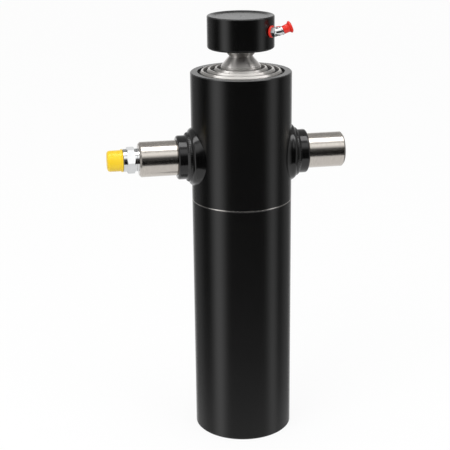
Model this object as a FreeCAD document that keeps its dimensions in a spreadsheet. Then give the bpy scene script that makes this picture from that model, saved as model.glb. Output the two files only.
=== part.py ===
import FreeCAD, Part
import os
import Sketcher

# Telescopic tipping cylinder, closed: three nested stages and a plunger in a barrel
# that swings on two trunnions, with a ball and cup at the top.
# The origin is the middle of the base. +Z runs up the cylinder and +X along the
# trunnions, with the oil port on the -X side. All lengths are in millimetres.

SIZES = [
    ("BaseThickness", 14.0, "plate that closes the barrel"),
    ("BaseVee", 3.0, "depth and half width of the welding groove round the plate"),
    ("BodyChamfer", 1.0, "outer edge at the base"),
    ("JointHeight", 282.7, "length of the barrel, where the trunnion head stands on it"),
    ("JointGroove", 0.8, "bevel on the barrel under the joint"),
    ("SpigotWall", 4.3, "wall of the barrel spigot inside the trunnion head"),
    ("SpigotLength", 22.0, "height of that spigot"),
    ("HeadLength", 147.5, "trunnion head above the joint"),
    ("HeadChamfer", 1.0, "outer edge of that face"),
    ("TrunnionRise", 51.7, "axis of the trunnions above the joint"),
    ("PinDiameter", 40.0, "bearing pin of a trunnion"),
    ("PinLength", 43.0, "bearing pin beyond its shoulder"),
    ("ShoulderStep", 5.0, "shoulder outside its pin"),
    ("ShoulderStand", 18.0, "shoulder face from the outside of the head"),
    ("ShoulderRound", 2.5, "rounded edge of the shoulder"),
    ("PinChamfer", 2.0, "end of the pin"),
    ("CentreMark", 4.0, "radius of the turning centre in the plain pin"),
    ("StubDiameter", 30.0, "trunnion root set in the wall of the head"),
    ("StubInset", 0.1, "end of that root behind the bore"),
    ("WeldLeg", 9.0, "radius of the bead round a shoulder"),
    ("WeldSink", 1.0, "middle of that bead below the face of the head"),
    ("OilwayDiameter", 10.0, "drilling through the port side trunnion"),
    ("PortThread", 20.96, "outside of the half inch pipe thread"),
    ("PortDepth", 17.0, "depth of the threaded port"),
    ("SealRingDiameter", 26.0, "bonded seal under the adapter"),
    ("SealRingThickness", 2.0, "bonded seal under the adapter"),
    ("CollarDiameter", 26.0, "round collars of the adapter"),
    ("InnerCollar", 2.7, "collar between seal and hexagon"),
    ("HexFlats", 27.0, "adapter hexagon across its flats"),
    ("HexMargin", 1.0, "how far the cut of its bevels starts beyond its corners"),
    ("HexLength", 8.3, "adapter hexagon along its axis"),
    ("OuterCollar", 4.7, "collar beyond the hexagon"),
    ("StudLength", 15.0, "adapter thread inside the trunnion"),
    ("HoseThreadLength", 15.3, "adapter thread for the hose"),
    ("HoseCone", 3.0, "depth of the sealing cone in the adapter's mouth"),
    ("CapWall", 1.5, "wall of the thread cap"),
    ("CapSkirt", 16.0, "cap's hollow along the thread"),
    ("CapRim", 0.9, "how far the cap's rim stands out"),
    ("CapRimWidth", 1.8, "cap's rim along the thread"),
    ("CapRound", 3.0, "rounded end of the cap"),
    ("PlungerDiameter", 45.0, "outside of the plunger"),
    ("PlungerWall", 7.5, "wall of the plunger"),
    ("PlungerRise", 1.1, "plunger above the third stage"),
    ("Stage3Channel", 2.5, "oil space between the third stage and the plunger"),
    ("Stage3Mouth", 4.3, "wiper recess of the third stage, from the plunger outwards"),
    ("Stage3Wall", 5.0, "wall of the third stage"),
    ("Stage3Rise", 1.2, "third stage above the second"),
    ("Stage2Channel", 3.0, "oil space between the second stage and the third"),
    ("Stage2Mouth", 4.6, "wiper recess of the second stage, from the third outwards"),
    ("Stage2Wall", 5.0, "wall of the second stage"),
    ("Stage2Rise", 1.7, "second stage above the first"),
    ("Stage1Channel", 2.5, "oil space between the first stage and the second"),
    ("Stage1Mouth", 4.4, "wiper recess of the first stage, from the second outwards"),
    ("Stage1Wall", 5.0, "wall of the first stage"),
    ("Stage1Rise", 1.8, "first stage above the trunnion head"),
    ("BarrelChannel", 3.0, "oil space between the barrel and the first stage"),
    ("BarrelMouth", 3.5, "wiper recess of the trunnion head, from the first stage outwards"),
    ("BarrelWall", 8.5, "wall of the barrel and the trunnion head"),
    ("StageChamfer", 1.1, "outer edge at the top of a stage"),
    ("PlungerChamfer", 0.5, "outer edge at the top of the plunger"),
    ("PlugThickness", 12.0, "plug at the foot of the plunger"),
    ("PlugInset", 2.0, "plug above the foot of the plunger"),
    ("WiperDepth", 6.0, "depth of a wiper recess"),
    ("WiperSink", 1.6, "wiper lip below the edge of its recess"),
    ("WiperLip", 0.5, "slope of the wiper lip away from the sliding tube"),
    ("UpperLand", 3.0, "metal between wiper and seal"),
    ("SealWidth", 7.0, "seal groove along the axis"),
    ("SealSection", 3.6, "seal groove from the sliding tube outwards"),
    ("SealVee", 0.7, "half width of the hollow between the seal's lips"),
    ("LowerLand", 4.0, "metal between seal and upper guide ring"),
    ("GuideWidth", 14.0, "upper guide ring groove along the axis"),
    ("GuideSection", 2.4, "upper guide ring groove from the sliding tube outwards"),
    ("StopLand", 16.0, "metal below the upper guide ring, which stops the stage"),
    ("FootLip", 6.0, "metal below a foot guide ring"),
    ("FootGuideWidth", 15.0, "foot guide ring groove along the axis"),
    ("FootGrooveDepth", 2.0, "foot grooves in the outside of a tube"),
    ("OilHoleHeight", 39.0, "oil holes above the foot of a stage"),
    ("OilHoleDiameter", 8.0, "oil holes through the wall of a stage"),
    ("OilHoleCount", 4, "oil holes round a stage"),
    ("StopHeight", 57.0, "stop ring groove above the foot"),
    ("StopThickness", 5.0, "stop ring groove along the axis"),
    ("StopGap", 0.4, "stop ring from the wall round it"),
    ("CarrierLip", 3.0, "metal below a carrier ring"),
    ("CarrierThickness", 2.5, "carrier ring groove along the axis"),
    ("CarrierGroove", 1.5, "carrier ring groove into the wall"),
    ("CarrierBite", 3.5, "how far a carrier ring reaches under the next tube"),
    ("RingAngle", 354.0, "turn of a split ring, in degrees"),
    ("FitGap", 0.05, "radial gap of every sliding or seated fit"),
    ("LandGap", 0.3, "radial gap between a tube and the metal round it"),
    ("SideGap", 0.1, "gap at each side of a ring in its groove"),
    ("SeatGap", 0.3, "gap under a foot and at the end of a stroke"),
    ("BallDiameter", 40.0, "ball on the plunger"),
    ("BallRise", 27.0, "centre of the ball above the top of the plunger"),
    ("BallFlat", 5.0, "radius of the flat on top of the ball"),
    ("NeckDiameter", 26.6, "neck under the ball"),
    ("ConeDiameter", 44.0, "cone at its foot"),
    ("ConeRim", 1.0, "straight edge at the foot of the cone"),
    ("ConeRatio", 0.866, "fall of the cone's radius for each length of height"),
    ("RootLength", 20.0, "root of the ball end inside the plunger"),
    ("RootBevel", 1.5, "lower edge of that root"),
    ("CupDiameter", 75.0, "outside of the cup"),
    ("CupDrop", 7.0, "lower face of the cup below the centre of the ball"),
    ("CupLength", 36.5, "cup from its lower face to its upper face"),
    ("CupRim", 2.5, "rim round the dish in the upper face"),
    ("CupRecessDepth", 1.5, "depth of that dish"),
    ("CupChamfer", 0.8, "upper outer edge of the cup"),
    ("CupRound", 2.5, "lower outer edge of the cup"),
    ("CupMouthBevel", 0.9, "lower inner edge of the cup"),
    ("WireDiameter", 2.5, "wire of the ring that holds the ball"),
    ("WireRise", 2.75, "plane of that ring above the lower face of the cup"),
    ("NippleRise", 20.8, "grease nipple above the lower face of the cup"),
    ("AzimuthAngle", -40.8, "grease nipple round the cup from +X, in degrees"),
    ("RollAngle", -57.0, "turn of the nipple about its thread, in degrees"),
    ("BendAngle", 45.0, "bend of the nipple, in degrees"),
    ("NippleThread", 8.0, "thread of the nipple"),
    ("NippleDepth", 10.0, "threaded hole in the cup"),
    ("GreasewayDiameter", 3.0, "drilling from the nipple to the ball"),
    ("NippleHexFlats", 10.0, "nipple hexagon across its flats"),
    ("NippleHexLength", 4.6, "nipple hexagon along its axis"),
    ("NippleElbow", 10.0, "bend from the side of the cup"),
    ("NippleBarrel", 8.8, "round part at the bend"),
    ("NippleCollar", 10.0, "collar below the nipple's head"),
    ("NippleCollarStart", 3.0, "collar from the bend"),
    ("NippleCollarWidth", 2.0, "collar along the head"),
    ("NippleHead", 6.5, "head that takes the grease gun"),
    ("NippleHeadLength", 7.0, "head beyond the collar"),
    ("NippleTipBevel", 1.0, "outer edge of the head"),
    ("TetherDiameter", 13.0, "ring of the dust cap under the hexagon"),
    ("TetherThickness", 2.6, "ring of the dust cap"),
    ("DustCapDiameter", 9.3, "body of the dust cap"),
    ("DustCapLength", 10.4, "dust cap along the head"),
    ("DustCapRim", 13.6, "flared end of the dust cap"),
    ("DustCapRimWidth", 3.0, "flared end along the head"),
    ("DustCapBevel", 1.0, "outer edge of the flared end"),
    ("StrapWidth", 2.6, "strap between ring and cap"),
    ("StrapThickness", 0.9, "strap between ring and cap"),
    ("StrapBulge", 1.4, "strap above a straight line between its ends"),
]

# Tubes from the outside in: what each one slides in comes first.
NESTED = [("Barrel", "Stage1"), ("Stage1", "Stage2"), ("Stage2", "Stage3"), ("Stage3", "Plunger")]

# How the names of the sub-parts on each tube begin.
STEMS = {
    "Barrel": "head",
    "Stage1": "stage_1",
    "Stage2": "stage_2",
    "Stage3": "stage_3",
    "Plunger": "plunger",
}

# Two lengths count as the same when they differ by less than this.
SAME = 1e-4

doc = FreeCAD.newDocument("TippingCylinder")
sheet = doc.addObject("Spreadsheet::Sheet", "Sizes")
for row, (alias, size, meaning) in enumerate(SIZES, start=1):
    sheet.set("A%d" % row, meaning)
    sheet.set("B%d" % row, str(size))
    sheet.setAlias("B%d" % row, alias)
doc.recompute()

# Radii and heights that several sub-parts share, worked out from the sizes.
worked = doc.addObject("App::VarSet", "Worked")


def work_out(name, formula):
    worked.addProperty("App::PropertyFloat", name, "Worked")
    worked.setExpression(name, formula)


def work_out_gland(outer, inner):
    """Bore, grooves and shoulders inside the top of one tube, round the next one."""
    stem = STEMS[outer]
    work_out(inner + "Touch", "%sRadius + Sizes.FitGap" % inner)
    work_out(outer + "BoreTouch", "%sBoreRadius - Sizes.FitGap" % outer)
    work_out(outer + "MouthTouch", "%sMouthRadius - Sizes.FitGap" % outer)
    work_out(outer + "LandRadius", "%sRadius + Sizes.LandGap" % inner)
    work_out(outer + "SealRadius", "%sRadius + Sizes.SealSection" % inner)
    work_out(outer + "SealTouch", "%sSealRadius - Sizes.FitGap" % outer)
    work_out(outer + "GuideRadius", "%sRadius + Sizes.GuideSection" % inner)
    work_out(outer + "GuideTouch", "%sGuideRadius - Sizes.FitGap" % outer)
    work_out(outer + "WiperFloor", "%sTop - Sizes.WiperDepth" % outer)
    work_out(outer + "SealTop", "%sWiperFloor - Sizes.UpperLand" % outer)
    work_out(outer + "SealFloor", "%sSealTop - Sizes.SealWidth" % outer)
    work_out(outer + "GuideTop", "%sSealFloor - Sizes.LowerLand" % outer)
    work_out(outer + "GuideFloor", "%sGuideTop - Sizes.GuideWidth" % outer)
    work_out(outer + "GlandFloor", "%sGuideFloor - Sizes.StopLand" % outer)
    work_out(stem + "_lip", "%sTop - Sizes.WiperSink" % outer)
    work_out(stem + "_lip_back", "%sTouch + 2 * Sizes.WiperLip" % inner)
    work_out(stem + "_heel", "%sTouch + Sizes.WiperLip" % inner)
    work_out(stem + "_shelf", "%sWiperFloor + Sizes.WiperDepth / 2" % outer)
    work_out_ring(stem + "_seal", "%sSealFloor" % outer, "%sSealTop" % outer)
    work_out_ring(stem + "_guide_ring", "%sGuideFloor" % outer, "%sGuideTop" % outer)
    work_out(stem + "_vee", "%sSealFloor + Sizes.SealWidth / 2" % outer)
    work_out(stem + "_vee_middle", "(%sTouch + %sSealTouch) / 2" % (inner, outer))
    work_out(stem + "_vee_inside", stem + "_vee_middle - Sizes.SealVee")
    work_out(stem + "_vee_outside", stem + "_vee_middle + Sizes.SealVee")


def work_out_foot(outer, inner):
    """Grooves round the foot of one tube, and the rings in them."""
    work_out(inner + "GrooveRadius", "%sRadius - Sizes.FootGrooveDepth" % inner)
    work_out(inner + "GrooveTouch", "%sGrooveRadius + Sizes.FitGap" % inner)
    work_out(inner + "FootGuideFloor", "%sFoot + Sizes.FootLip" % inner)
    work_out(inner + "FootGuideTop", "%sFootGuideFloor + Sizes.FootGuideWidth" % inner)
    work_out(inner + "StopFloor", "%sFoot + Sizes.StopHeight" % inner)
    work_out(inner + "StopTop", "%sStopFloor + Sizes.StopThickness" % inner)
    work_out(inner + "StopRadius", "%sBoreRadius - Sizes.StopGap" % outer)
    stroke = "%sGlandFloor - %sStopTop - Sizes.SeatGap" % (outer, inner)
    work_out(inner + "Stroke", stroke)
    guide = (inner + "FootGuideFloor", inner + "FootGuideTop")
    work_out_ring(STEMS[inner] + "_foot_guide", *guide)
    work_out_ring(STEMS[inner] + "_stop_ring", inner + "StopFloor", inner + "StopTop")


def work_out_carrier(tube, carried):
    """Ring inside the foot of one tube that carries the next one."""
    work_out(tube + "CarrierFloor", "%sFoot + Sizes.CarrierLip" % tube)
    work_out(tube + "CarrierTop", "%sCarrierFloor + Sizes.CarrierThickness" % tube)
    work_out(tube + "CarrierRadius", "%sBoreRadius + Sizes.CarrierGroove" % tube)
    work_out(tube + "CarrierTouch", "%sCarrierRadius - Sizes.FitGap" % tube)
    work_out(tube + "CarrierInside", "%sRadius - Sizes.CarrierBite" % carried)
    work_out(carried + "Foot", "%sCarrierTop + Sizes.SeatGap" % tube)
    work_out_ring(STEMS[tube] + "_carrier_ring", tube + "CarrierFloor", tube + "CarrierTop")


def work_out_ring(label, floor, top):
    """Lower and upper face of a ring that lies loosely in a groove."""
    work_out(label + "_low", floor + " + Sizes.SideGap")
    work_out(label + "_high", top + " - Sizes.SideGap")


def measure_tubes():
    """Radii from the plunger outwards, then heights from the trunnion head inwards."""
    work_out("PlungerRadius", "Sizes.PlungerDiameter / 2")
    for outer, inner in reversed(NESTED):
        work_out(outer + "BoreRadius", "%sRadius + Sizes.%sChannel" % (inner, outer))
        work_out(outer + "MouthRadius", "%sRadius + Sizes.%sMouth" % (inner, outer))
        work_out(outer + "Radius", "%sBoreRadius + Sizes.%sWall" % (outer, outer))
    work_out("BarrelTop", "Sizes.JointHeight + Sizes.HeadLength")
    work_out("Stage1Foot", "Sizes.BaseThickness + Sizes.SeatGap")
    for outer, inner in NESTED:
        work_out(inner + "Top", "%sTop + Sizes.%sRise" % (outer, inner))
        work_out_gland(outer, inner)
        if outer != "Barrel":
            work_out_carrier(outer, inner)
        work_out_foot(outer, inner)


def value(name):
    """Number behind a name, from the sheet or worked out from it."""
    if name == "Zero":
        return 0.0
    return float(getattr(worked if name in worked.PropertiesList else sheet, name))


def binding(name):
    return ("Worked." if name in worked.PropertiesList else "Sizes.") + name


def new_body(label):
    body = doc.addObject("PartDesign::Body", label)
    body.Label = label
    return body


def own_plane(body, role):
    return [item for item in body.Origin.OriginFeatures if item.Role == role][0]


def new_sketch(body, name, plane, offset=None):
    """Sketch on one of the body's own planes, moved along its normal by a named length."""
    sketch = body.newObject("Sketcher::SketchObject", name)
    sketch.AttachmentSupport = (own_plane(body, plane), [""])
    sketch.MapMode = "FlatFace"
    if offset:
        sketch.setExpression("AttachmentOffset.Base.z", binding(offset))
    return sketch


def draw_outline(sketch, corners, arcs=()):
    """Closed outline through corners given as pairs of named distances.

    arcs lists (number of the first corner, +1 or -1): from there to the next corner the
    outline is an arc about a point on the vertical axis, anticlockwise or clockwise.
    """
    first = sketch.GeometryCount
    spots = [FreeCAD.Vector(value(across), value(up), 0) for across, up in corners]
    turns = dict(arcs)
    count = len(corners)
    rules = []
    ends = []
    for index in range(count):
        start, end = spots[index], spots[(index + 1) % count]
        if index not in turns:
            sketch.addGeometry(Part.LineSegment(start, end))
            ends.append((1, 2))
            continue
        rise = (end.x ** 2 + end.y ** 2 - start.x ** 2 - start.y ** 2) / (2 * (end.y - start.y))
        centre = FreeCAD.Vector(0, rise, 0)
        if turns[index] < 0:
            start, end = end, start
        ends.append((1, 2) if turns[index] > 0 else (2, 1))
        circle = Part.Circle(centre, FreeCAD.Vector(0, 0, 1), (start - centre).Length)
        arc = Part.ArcOfCircle(circle, circle.parameter(start), circle.parameter(end))
        sketch.addGeometry(arc)
        rules.append(Sketcher.Constraint("PointOnObject", first + index, 3, -2))
    for index in range(count):
        follower = (index + 1) % count
        joined = (first + index, ends[index][1], first + follower, ends[follower][0])
        rules.append(Sketcher.Constraint("Coincident", *joined))
    named = []
    for index, (across, up) in enumerate(corners):
        corner = (first + index, ends[index][0])
        for kind, axis, name in (("DistanceX", -2, across), ("DistanceY", -1, up)):
            if name == "Zero":
                rules.append(Sketcher.Constraint("PointOnObject", corner[0], corner[1], axis))
                continue
            named.append((len(rules), name))
            rules.append(Sketcher.Constraint(kind, -1, 1, corner[0], corner[1], value(name)))
    before = sketch.ConstraintCount
    sketch.addConstraint(rules)
    for number, name in named:
        sketch.setExpression("Constraints[%d]" % (before + number), binding(name))


def draw_circle(sketch, radius, height=None):
    """Circle about the sketch's origin, or a named height above it."""
    centre = FreeCAD.Vector(0, value(height) if height else 0, 0)
    circle = Part.Circle(centre, FreeCAD.Vector(0, 0, 1), value(radius))
    index = sketch.addGeometry(circle)
    number = sketch.addConstraint(Sketcher.Constraint("Radius", index, value(radius)))
    sketch.setExpression("Constraints[%d]" % number, binding(radius))
    if not height:
        sketch.addConstraint(Sketcher.Constraint("Coincident", index, 3, -1, 1))
        return
    sketch.addConstraint(Sketcher.Constraint("PointOnObject", index, 3, -2))
    rule = Sketcher.Constraint("DistanceY", -1, 1, index, 3, value(height))
    number = sketch.addConstraint(rule)
    sketch.setExpression("Constraints[%d]" % number, binding(height))


def draw_hexagon(sketch, corner_radius):
    """Hexagon with one corner on the sketch's horizontal axis."""
    reach = value(corner_radius)
    turn = FreeCAD.Rotation(FreeCAD.Vector(0, 0, 1), 60)
    spots = [FreeCAD.Vector(reach, 0, 0)]
    for _ in range(5):
        spots.append(turn.multVec(spots[-1]))
    for index in range(6):
        sketch.addGeometry(Part.LineSegment(spots[index], spots[(index + 1) % 6]))
    ring = sketch.addGeometry(Part.Circle(FreeCAD.Vector(), FreeCAD.Vector(0, 0, 1), reach))
    sketch.setConstruction(ring, True)
    rules = [Sketcher.Constraint("Coincident", ring, 3, -1, 1)]
    for index in range(6):
        rules.append(Sketcher.Constraint("Coincident", index, 2, (index + 1) % 6, 1))
        rules.append(Sketcher.Constraint("PointOnObject", index, 1, ring))
    for index in range(1, 6):
        rules.append(Sketcher.Constraint("Equal", 0, index))
    rules.append(Sketcher.Constraint("PointOnObject", 0, 1, -1))
    rules.append(Sketcher.Constraint("Radius", ring, reach))
    sketch.addConstraint(rules)
    sketch.setExpression("Constraints[%d]" % (len(rules) - 1), binding(corner_radius))


def turn_shape(body, name, corners, arcs=(), axis="V_Axis", kind="Revolution", sweep=None):
    """Revolution or groove of an outline in the body's XZ plane."""
    sketch = new_sketch(body, name + "Sketch", "XZ_Plane")
    draw_outline(sketch, corners, arcs)
    feature = body.newObject("PartDesign::" + kind, name)
    feature.Profile = sketch
    feature.ReferenceAxis = (sketch, [axis])
    feature.Angle = 360
    if sweep:
        feature.setExpression("Angle", binding(sweep))
    sketch.Visibility = False
    body.Tip = feature
    return feature


def turned_body(label, corners, arcs=(), axis="V_Axis", sweep=None):
    body = new_body(label)
    turn_shape(body, label + "_turned", corners, arcs, axis, "Revolution", sweep)
    return body


def cut_hole(body, name, plane, radius, height=None, offset=None, both=False):
    """Round hole from one of the body's planes through everything, to one side or both."""
    sketch = new_sketch(body, name + "Sketch", plane, offset)
    draw_circle(sketch, radius, height)
    pocket = body.newObject("PartDesign::Pocket", name)
    pocket.Profile = sketch
    pocket.Type = "ThroughAll"
    pocket.Midplane = both
    pocket.Reversed = not both
    sketch.Visibility = False
    body.Tip = pocket
    return pocket


def round_edges(body, name, radius, ring, axis):
    """Fillet on the round edge with this named radius and named distance along an axis."""
    doc.recompute()
    base = body.Tip
    edges = [
        "Edge%d" % number
        for number, edge in enumerate(base.Shape.Edges, start=1)
        if is_ring(edge, value(ring[0]), value(ring[1]), axis)
    ]
    fillet = body.newObject("PartDesign::Fillet", name)
    fillet.Base = (base, edges)
    fillet.setExpression("Radius", binding(radius))
    body.Tip = fillet
    return fillet


def is_ring(edge, radius, station, axis):
    """True for a full circle of this radius whose centre is this far along the axis."""
    if edge.Degenerated or len(edge.Vertexes) != 1 or not isinstance(edge.Curve, Part.Circle):
        return False
    near = abs(edge.Curve.Radius - radius) < SAME
    return near and abs(edge.Curve.Center.dot(axis) - station) < SAME


def split_ring(label, inside, outside):
    """Split ring of rectangular section between two faces named after it."""
    low, high = label + "_low", label + "_high"
    corners = [(inside, low), (outside, low), (outside, high), (inside, high)]
    return turned_body(label, corners, sweep="RingAngle")


# Barrel


def measure_base():
    work_out("BaseChamferRadius", "BarrelRadius - Sizes.BodyChamfer")
    work_out("JointGrooveRadius", "BarrelRadius - Sizes.JointGroove")
    work_out("JointGrooveFloor", "Sizes.JointHeight - Sizes.JointGroove")
    work_out("SpigotRadius", "BarrelBoreRadius + Sizes.SpigotWall")
    work_out("SpigotSeat", "SpigotRadius + Sizes.FitGap")
    work_out("SpigotTop", "Sizes.JointHeight + Sizes.SpigotLength")
    work_out("VeeOutside", "BarrelBoreRadius + Sizes.BaseVee")
    work_out("PlateRadius", "BarrelBoreRadius - Sizes.FitGap")
    work_out("VeeInside", "PlateRadius - Sizes.BaseVee")


def make_base():
    turned_body("barrel_tube", [
        ("VeeOutside", "Zero"),
        ("BaseChamferRadius", "Zero"),
        ("BarrelRadius", "BodyChamfer"),
        ("BarrelRadius", "JointGrooveFloor"),
        ("JointGrooveRadius", "JointHeight"),
        ("SpigotRadius", "JointHeight"),
        ("SpigotRadius", "SpigotTop"),
        ("BarrelBoreRadius", "SpigotTop"),
        ("BarrelBoreRadius", "BaseVee"),
    ])
    turned_body("base_plate", [
        ("Zero", "Zero"),
        ("VeeInside", "Zero"),
        ("PlateRadius", "BaseVee"),
        ("PlateRadius", "BaseThickness"),
        ("Zero", "BaseThickness"),
    ])
    turned_body("base_weld", [
        ("VeeInside", "Zero"),
        ("VeeOutside", "Zero"),
        ("BarrelBoreRadius", "BaseVee"),
        ("PlateRadius", "BaseVee"),
    ])


def gland_corners(tube):
    """Inside of a tube's top, from its bore up to its mouth, as outline corners."""
    return [
        (tube + "BoreRadius", tube + "GlandFloor"),
        (tube + "LandRadius", tube + "GlandFloor"),
        (tube + "LandRadius", tube + "GuideFloor"),
        (tube + "GuideRadius", tube + "GuideFloor"),
        (tube + "GuideRadius", tube + "GuideTop"),
        (tube + "LandRadius", tube + "GuideTop"),
        (tube + "LandRadius", tube + "SealFloor"),
        (tube + "SealRadius", tube + "SealFloor"),
        (tube + "SealRadius", tube + "SealTop"),
        (tube + "LandRadius", tube + "SealTop"),
        (tube + "LandRadius", tube + "WiperFloor"),
        (tube + "MouthRadius", tube + "WiperFloor"),
        (tube + "MouthRadius", tube + "Top"),
    ]


def measure_head():
    work_out("HeadEdgeRadius", "BarrelRadius - Sizes.HeadChamfer")
    work_out("HeadEdgeFloor", "BarrelTop - Sizes.HeadChamfer")
    work_out("StubHole", "Sizes.StubDiameter / 2 + Sizes.FitGap")


def make_head():
    rising = gland_corners("Barrel")
    falling = [
        ("HeadEdgeRadius", "BarrelTop"),
        ("BarrelRadius", "HeadEdgeFloor"),
        ("BarrelRadius", "JointHeight"),
        ("SpigotSeat", "JointHeight"),
        ("SpigotSeat", "SpigotTop"),
        ("BarrelBoreRadius", "SpigotTop"),
    ]
    body = turned_body("trunnion_head", rising + falling)
    cut_hole(body, "stub_holes", "YZ_Plane", "StubHole", height="TrunnionHeight", both=True)


# Trunnions, each drawn along its own +X with the origin on the cylinder's axis


def make_trunnion(label, turn, drilled):
    body = turned_body(label, [
        ("StubStart", "Zero"),
        ("PinReach", "Zero"),
        ("PinReach", "PinEdge"),
        ("PinEdgeStart", "PinRadius"),
        ("ShoulderReach", "PinRadius"),
        ("ShoulderReach", "ShoulderRadius"),
        ("StubStart", "ShoulderRadius"),
    ], axis="H_Axis")
    along = FreeCAD.Vector(1, 0, 0)
    face = ("ShoulderRadius", "ShoulderReach")
    round_edges(body, label + "_round", "ShoulderRound", face, along)
    cut_hole(body, label + "_saddle", "XY_Plane", "BarrelRadius", both=True)
    stub = [
        ("StubStart", "Zero"),
        ("StubEnd", "Zero"),
        ("StubEnd", "StubRadius"),
        ("StubStart", "StubRadius"),
    ]
    turn_shape(body, label + "_stub", stub, axis="H_Axis")
    if drilled:
        port = [
            ("StubStart", "Zero"),
            ("PinReach", "Zero"),
            ("PinReach", "PortRadius"),
            ("PortFloor", "PortRadius"),
            ("PortFloor", "OilwayRadius"),
            ("StubStart", "OilwayRadius"),
        ]
        turn_shape(body, label + "_port", port, axis="H_Axis", kind="Groove")
    else:
        centre = [("CentreFloor", "Zero"), ("PinReach", "Zero"), ("PinReach", "CentreMark")]
        turn_shape(body, label + "_centre", centre, axis="H_Axis", kind="Groove")
    body.Placement.Rotation = FreeCAD.Rotation(FreeCAD.Vector(0, 0, 1), turn)
    body.setExpression("Placement.Base.z", "Worked.TrunnionHeight")
    return body


def make_trunnion_weld(label, side):
    """Bead that fills the corner between a shoulder and the head."""
    bead = doc.addObject("Part::Torus", label + "_bead")
    bead.setExpression("Radius1", "Worked.ShoulderRadius")
    bead.setExpression("Radius2", "Sizes.WeldLeg")
    across = FreeCAD.Rotation(FreeCAD.Vector(0, 1, 0), 90)
    bead.Placement.Rotation = across
    bead.setExpression("Placement.Base.x", "%d * Worked.BeadCentre" % side)
    bead.setExpression("Placement.Base.z", "Worked.TrunnionHeight")
    shoulder = doc.addObject("Part::Cylinder", label + "_shoulder")
    shoulder.setExpression("Radius", "Worked.ShoulderRadius")
    shoulder.setExpression("Height", "2 * Worked.ShoulderReach")
    shoulder.Placement.Rotation = across
    shoulder.setExpression("Placement.Base.x", "-Worked.ShoulderReach")
    shoulder.setExpression("Placement.Base.z", "Worked.TrunnionHeight")
    head = doc.addObject("Part::Cylinder", label + "_head")
    head.setExpression("Radius", "Worked.BarrelRadius")
    head.setExpression("Height", "Worked.BarrelTop")
    metal = doc.addObject("Part::MultiFuse", label + "_metal")
    metal.Shapes = [shoulder, head]
    weld = doc.addObject("Part::Cut", label)
    weld.Base = bead
    weld.Tool = metal
    weld.Label = label
    return weld


def measure_trunnions():
    work_out("TrunnionHeight", "Sizes.JointHeight + Sizes.TrunnionRise")
    work_out("PinRadius", "Sizes.PinDiameter / 2")
    work_out("ShoulderRadius", "PinRadius + Sizes.ShoulderStep")
    work_out("ShoulderReach", "BarrelRadius + Sizes.ShoulderStand")
    work_out("PinReach", "ShoulderReach + Sizes.PinLength")
    work_out("PinEdge", "PinRadius - Sizes.PinChamfer")
    work_out("PinEdgeStart", "PinReach - Sizes.PinChamfer")
    work_out("StubRadius", "Sizes.StubDiameter / 2")
    work_out("StubStart", "BarrelBoreRadius + Sizes.StubInset")
    work_out("StubEnd", "BarrelRadius + Sizes.WeldLeg / 2")
    work_out("PortRadius", "Sizes.PortThread / 2")
    work_out("PortFloor", "PinReach - Sizes.PortDepth")
    work_out("OilwayRadius", "Sizes.OilwayDiameter / 2")
    work_out("CentreFloor", "PinReach - Sizes.CentreMark * sqrt(3)")
    work_out("BeadCentre", "BarrelRadius - Sizes.WeldSink")


def make_trunnions():
    make_trunnion("trunnion_left", 180, True)
    make_trunnion("trunnion_right", 0, False)
    make_trunnion_weld("trunnion_weld_left", -1)
    make_trunnion_weld("trunnion_weld_right", 1)


# Port fittings, drawn along the left trunnion's own +X


def aim_left(body):
    body.Placement.Rotation = FreeCAD.Rotation(FreeCAD.Vector(0, 0, 1), 180)
    body.setExpression("Placement.Base.z", "Worked.TrunnionHeight")


def measure_port_fittings():
    work_out("StudRadius", "PortRadius - Sizes.FitGap")
    work_out("StudStart", "PinReach - Sizes.StudLength")
    work_out("SealRingRadius", "Sizes.SealRingDiameter / 2")
    work_out("SealRingEnd", "PinReach + Sizes.SealRingThickness")
    work_out("CollarRadius", "Sizes.CollarDiameter / 2")
    work_out("HexStart", "SealRingEnd + Sizes.InnerCollar")
    work_out("HexEnd", "HexStart + Sizes.HexLength")
    work_out("HexCorner", "Sizes.HexFlats / sqrt(3)")
    work_out("HexFlat", "Sizes.HexFlats / 2")
    work_out("HexOver", "HexCorner + Sizes.HexMargin")
    work_out("HexBevel", "(HexOver - HexFlat) / sqrt(3)")
    work_out("HexBevelStart", "HexStart + HexBevel")
    work_out("HexBevelEnd", "HexEnd - HexBevel")
    work_out("CollarEnd", "HexEnd + Sizes.OuterCollar")
    work_out("HoseEnd", "CollarEnd + Sizes.HoseThreadLength")
    work_out("ConeStart", "HoseEnd - Sizes.HoseCone")
    work_out("ConeMouth", "OilwayRadius + Sizes.HoseCone")


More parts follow.
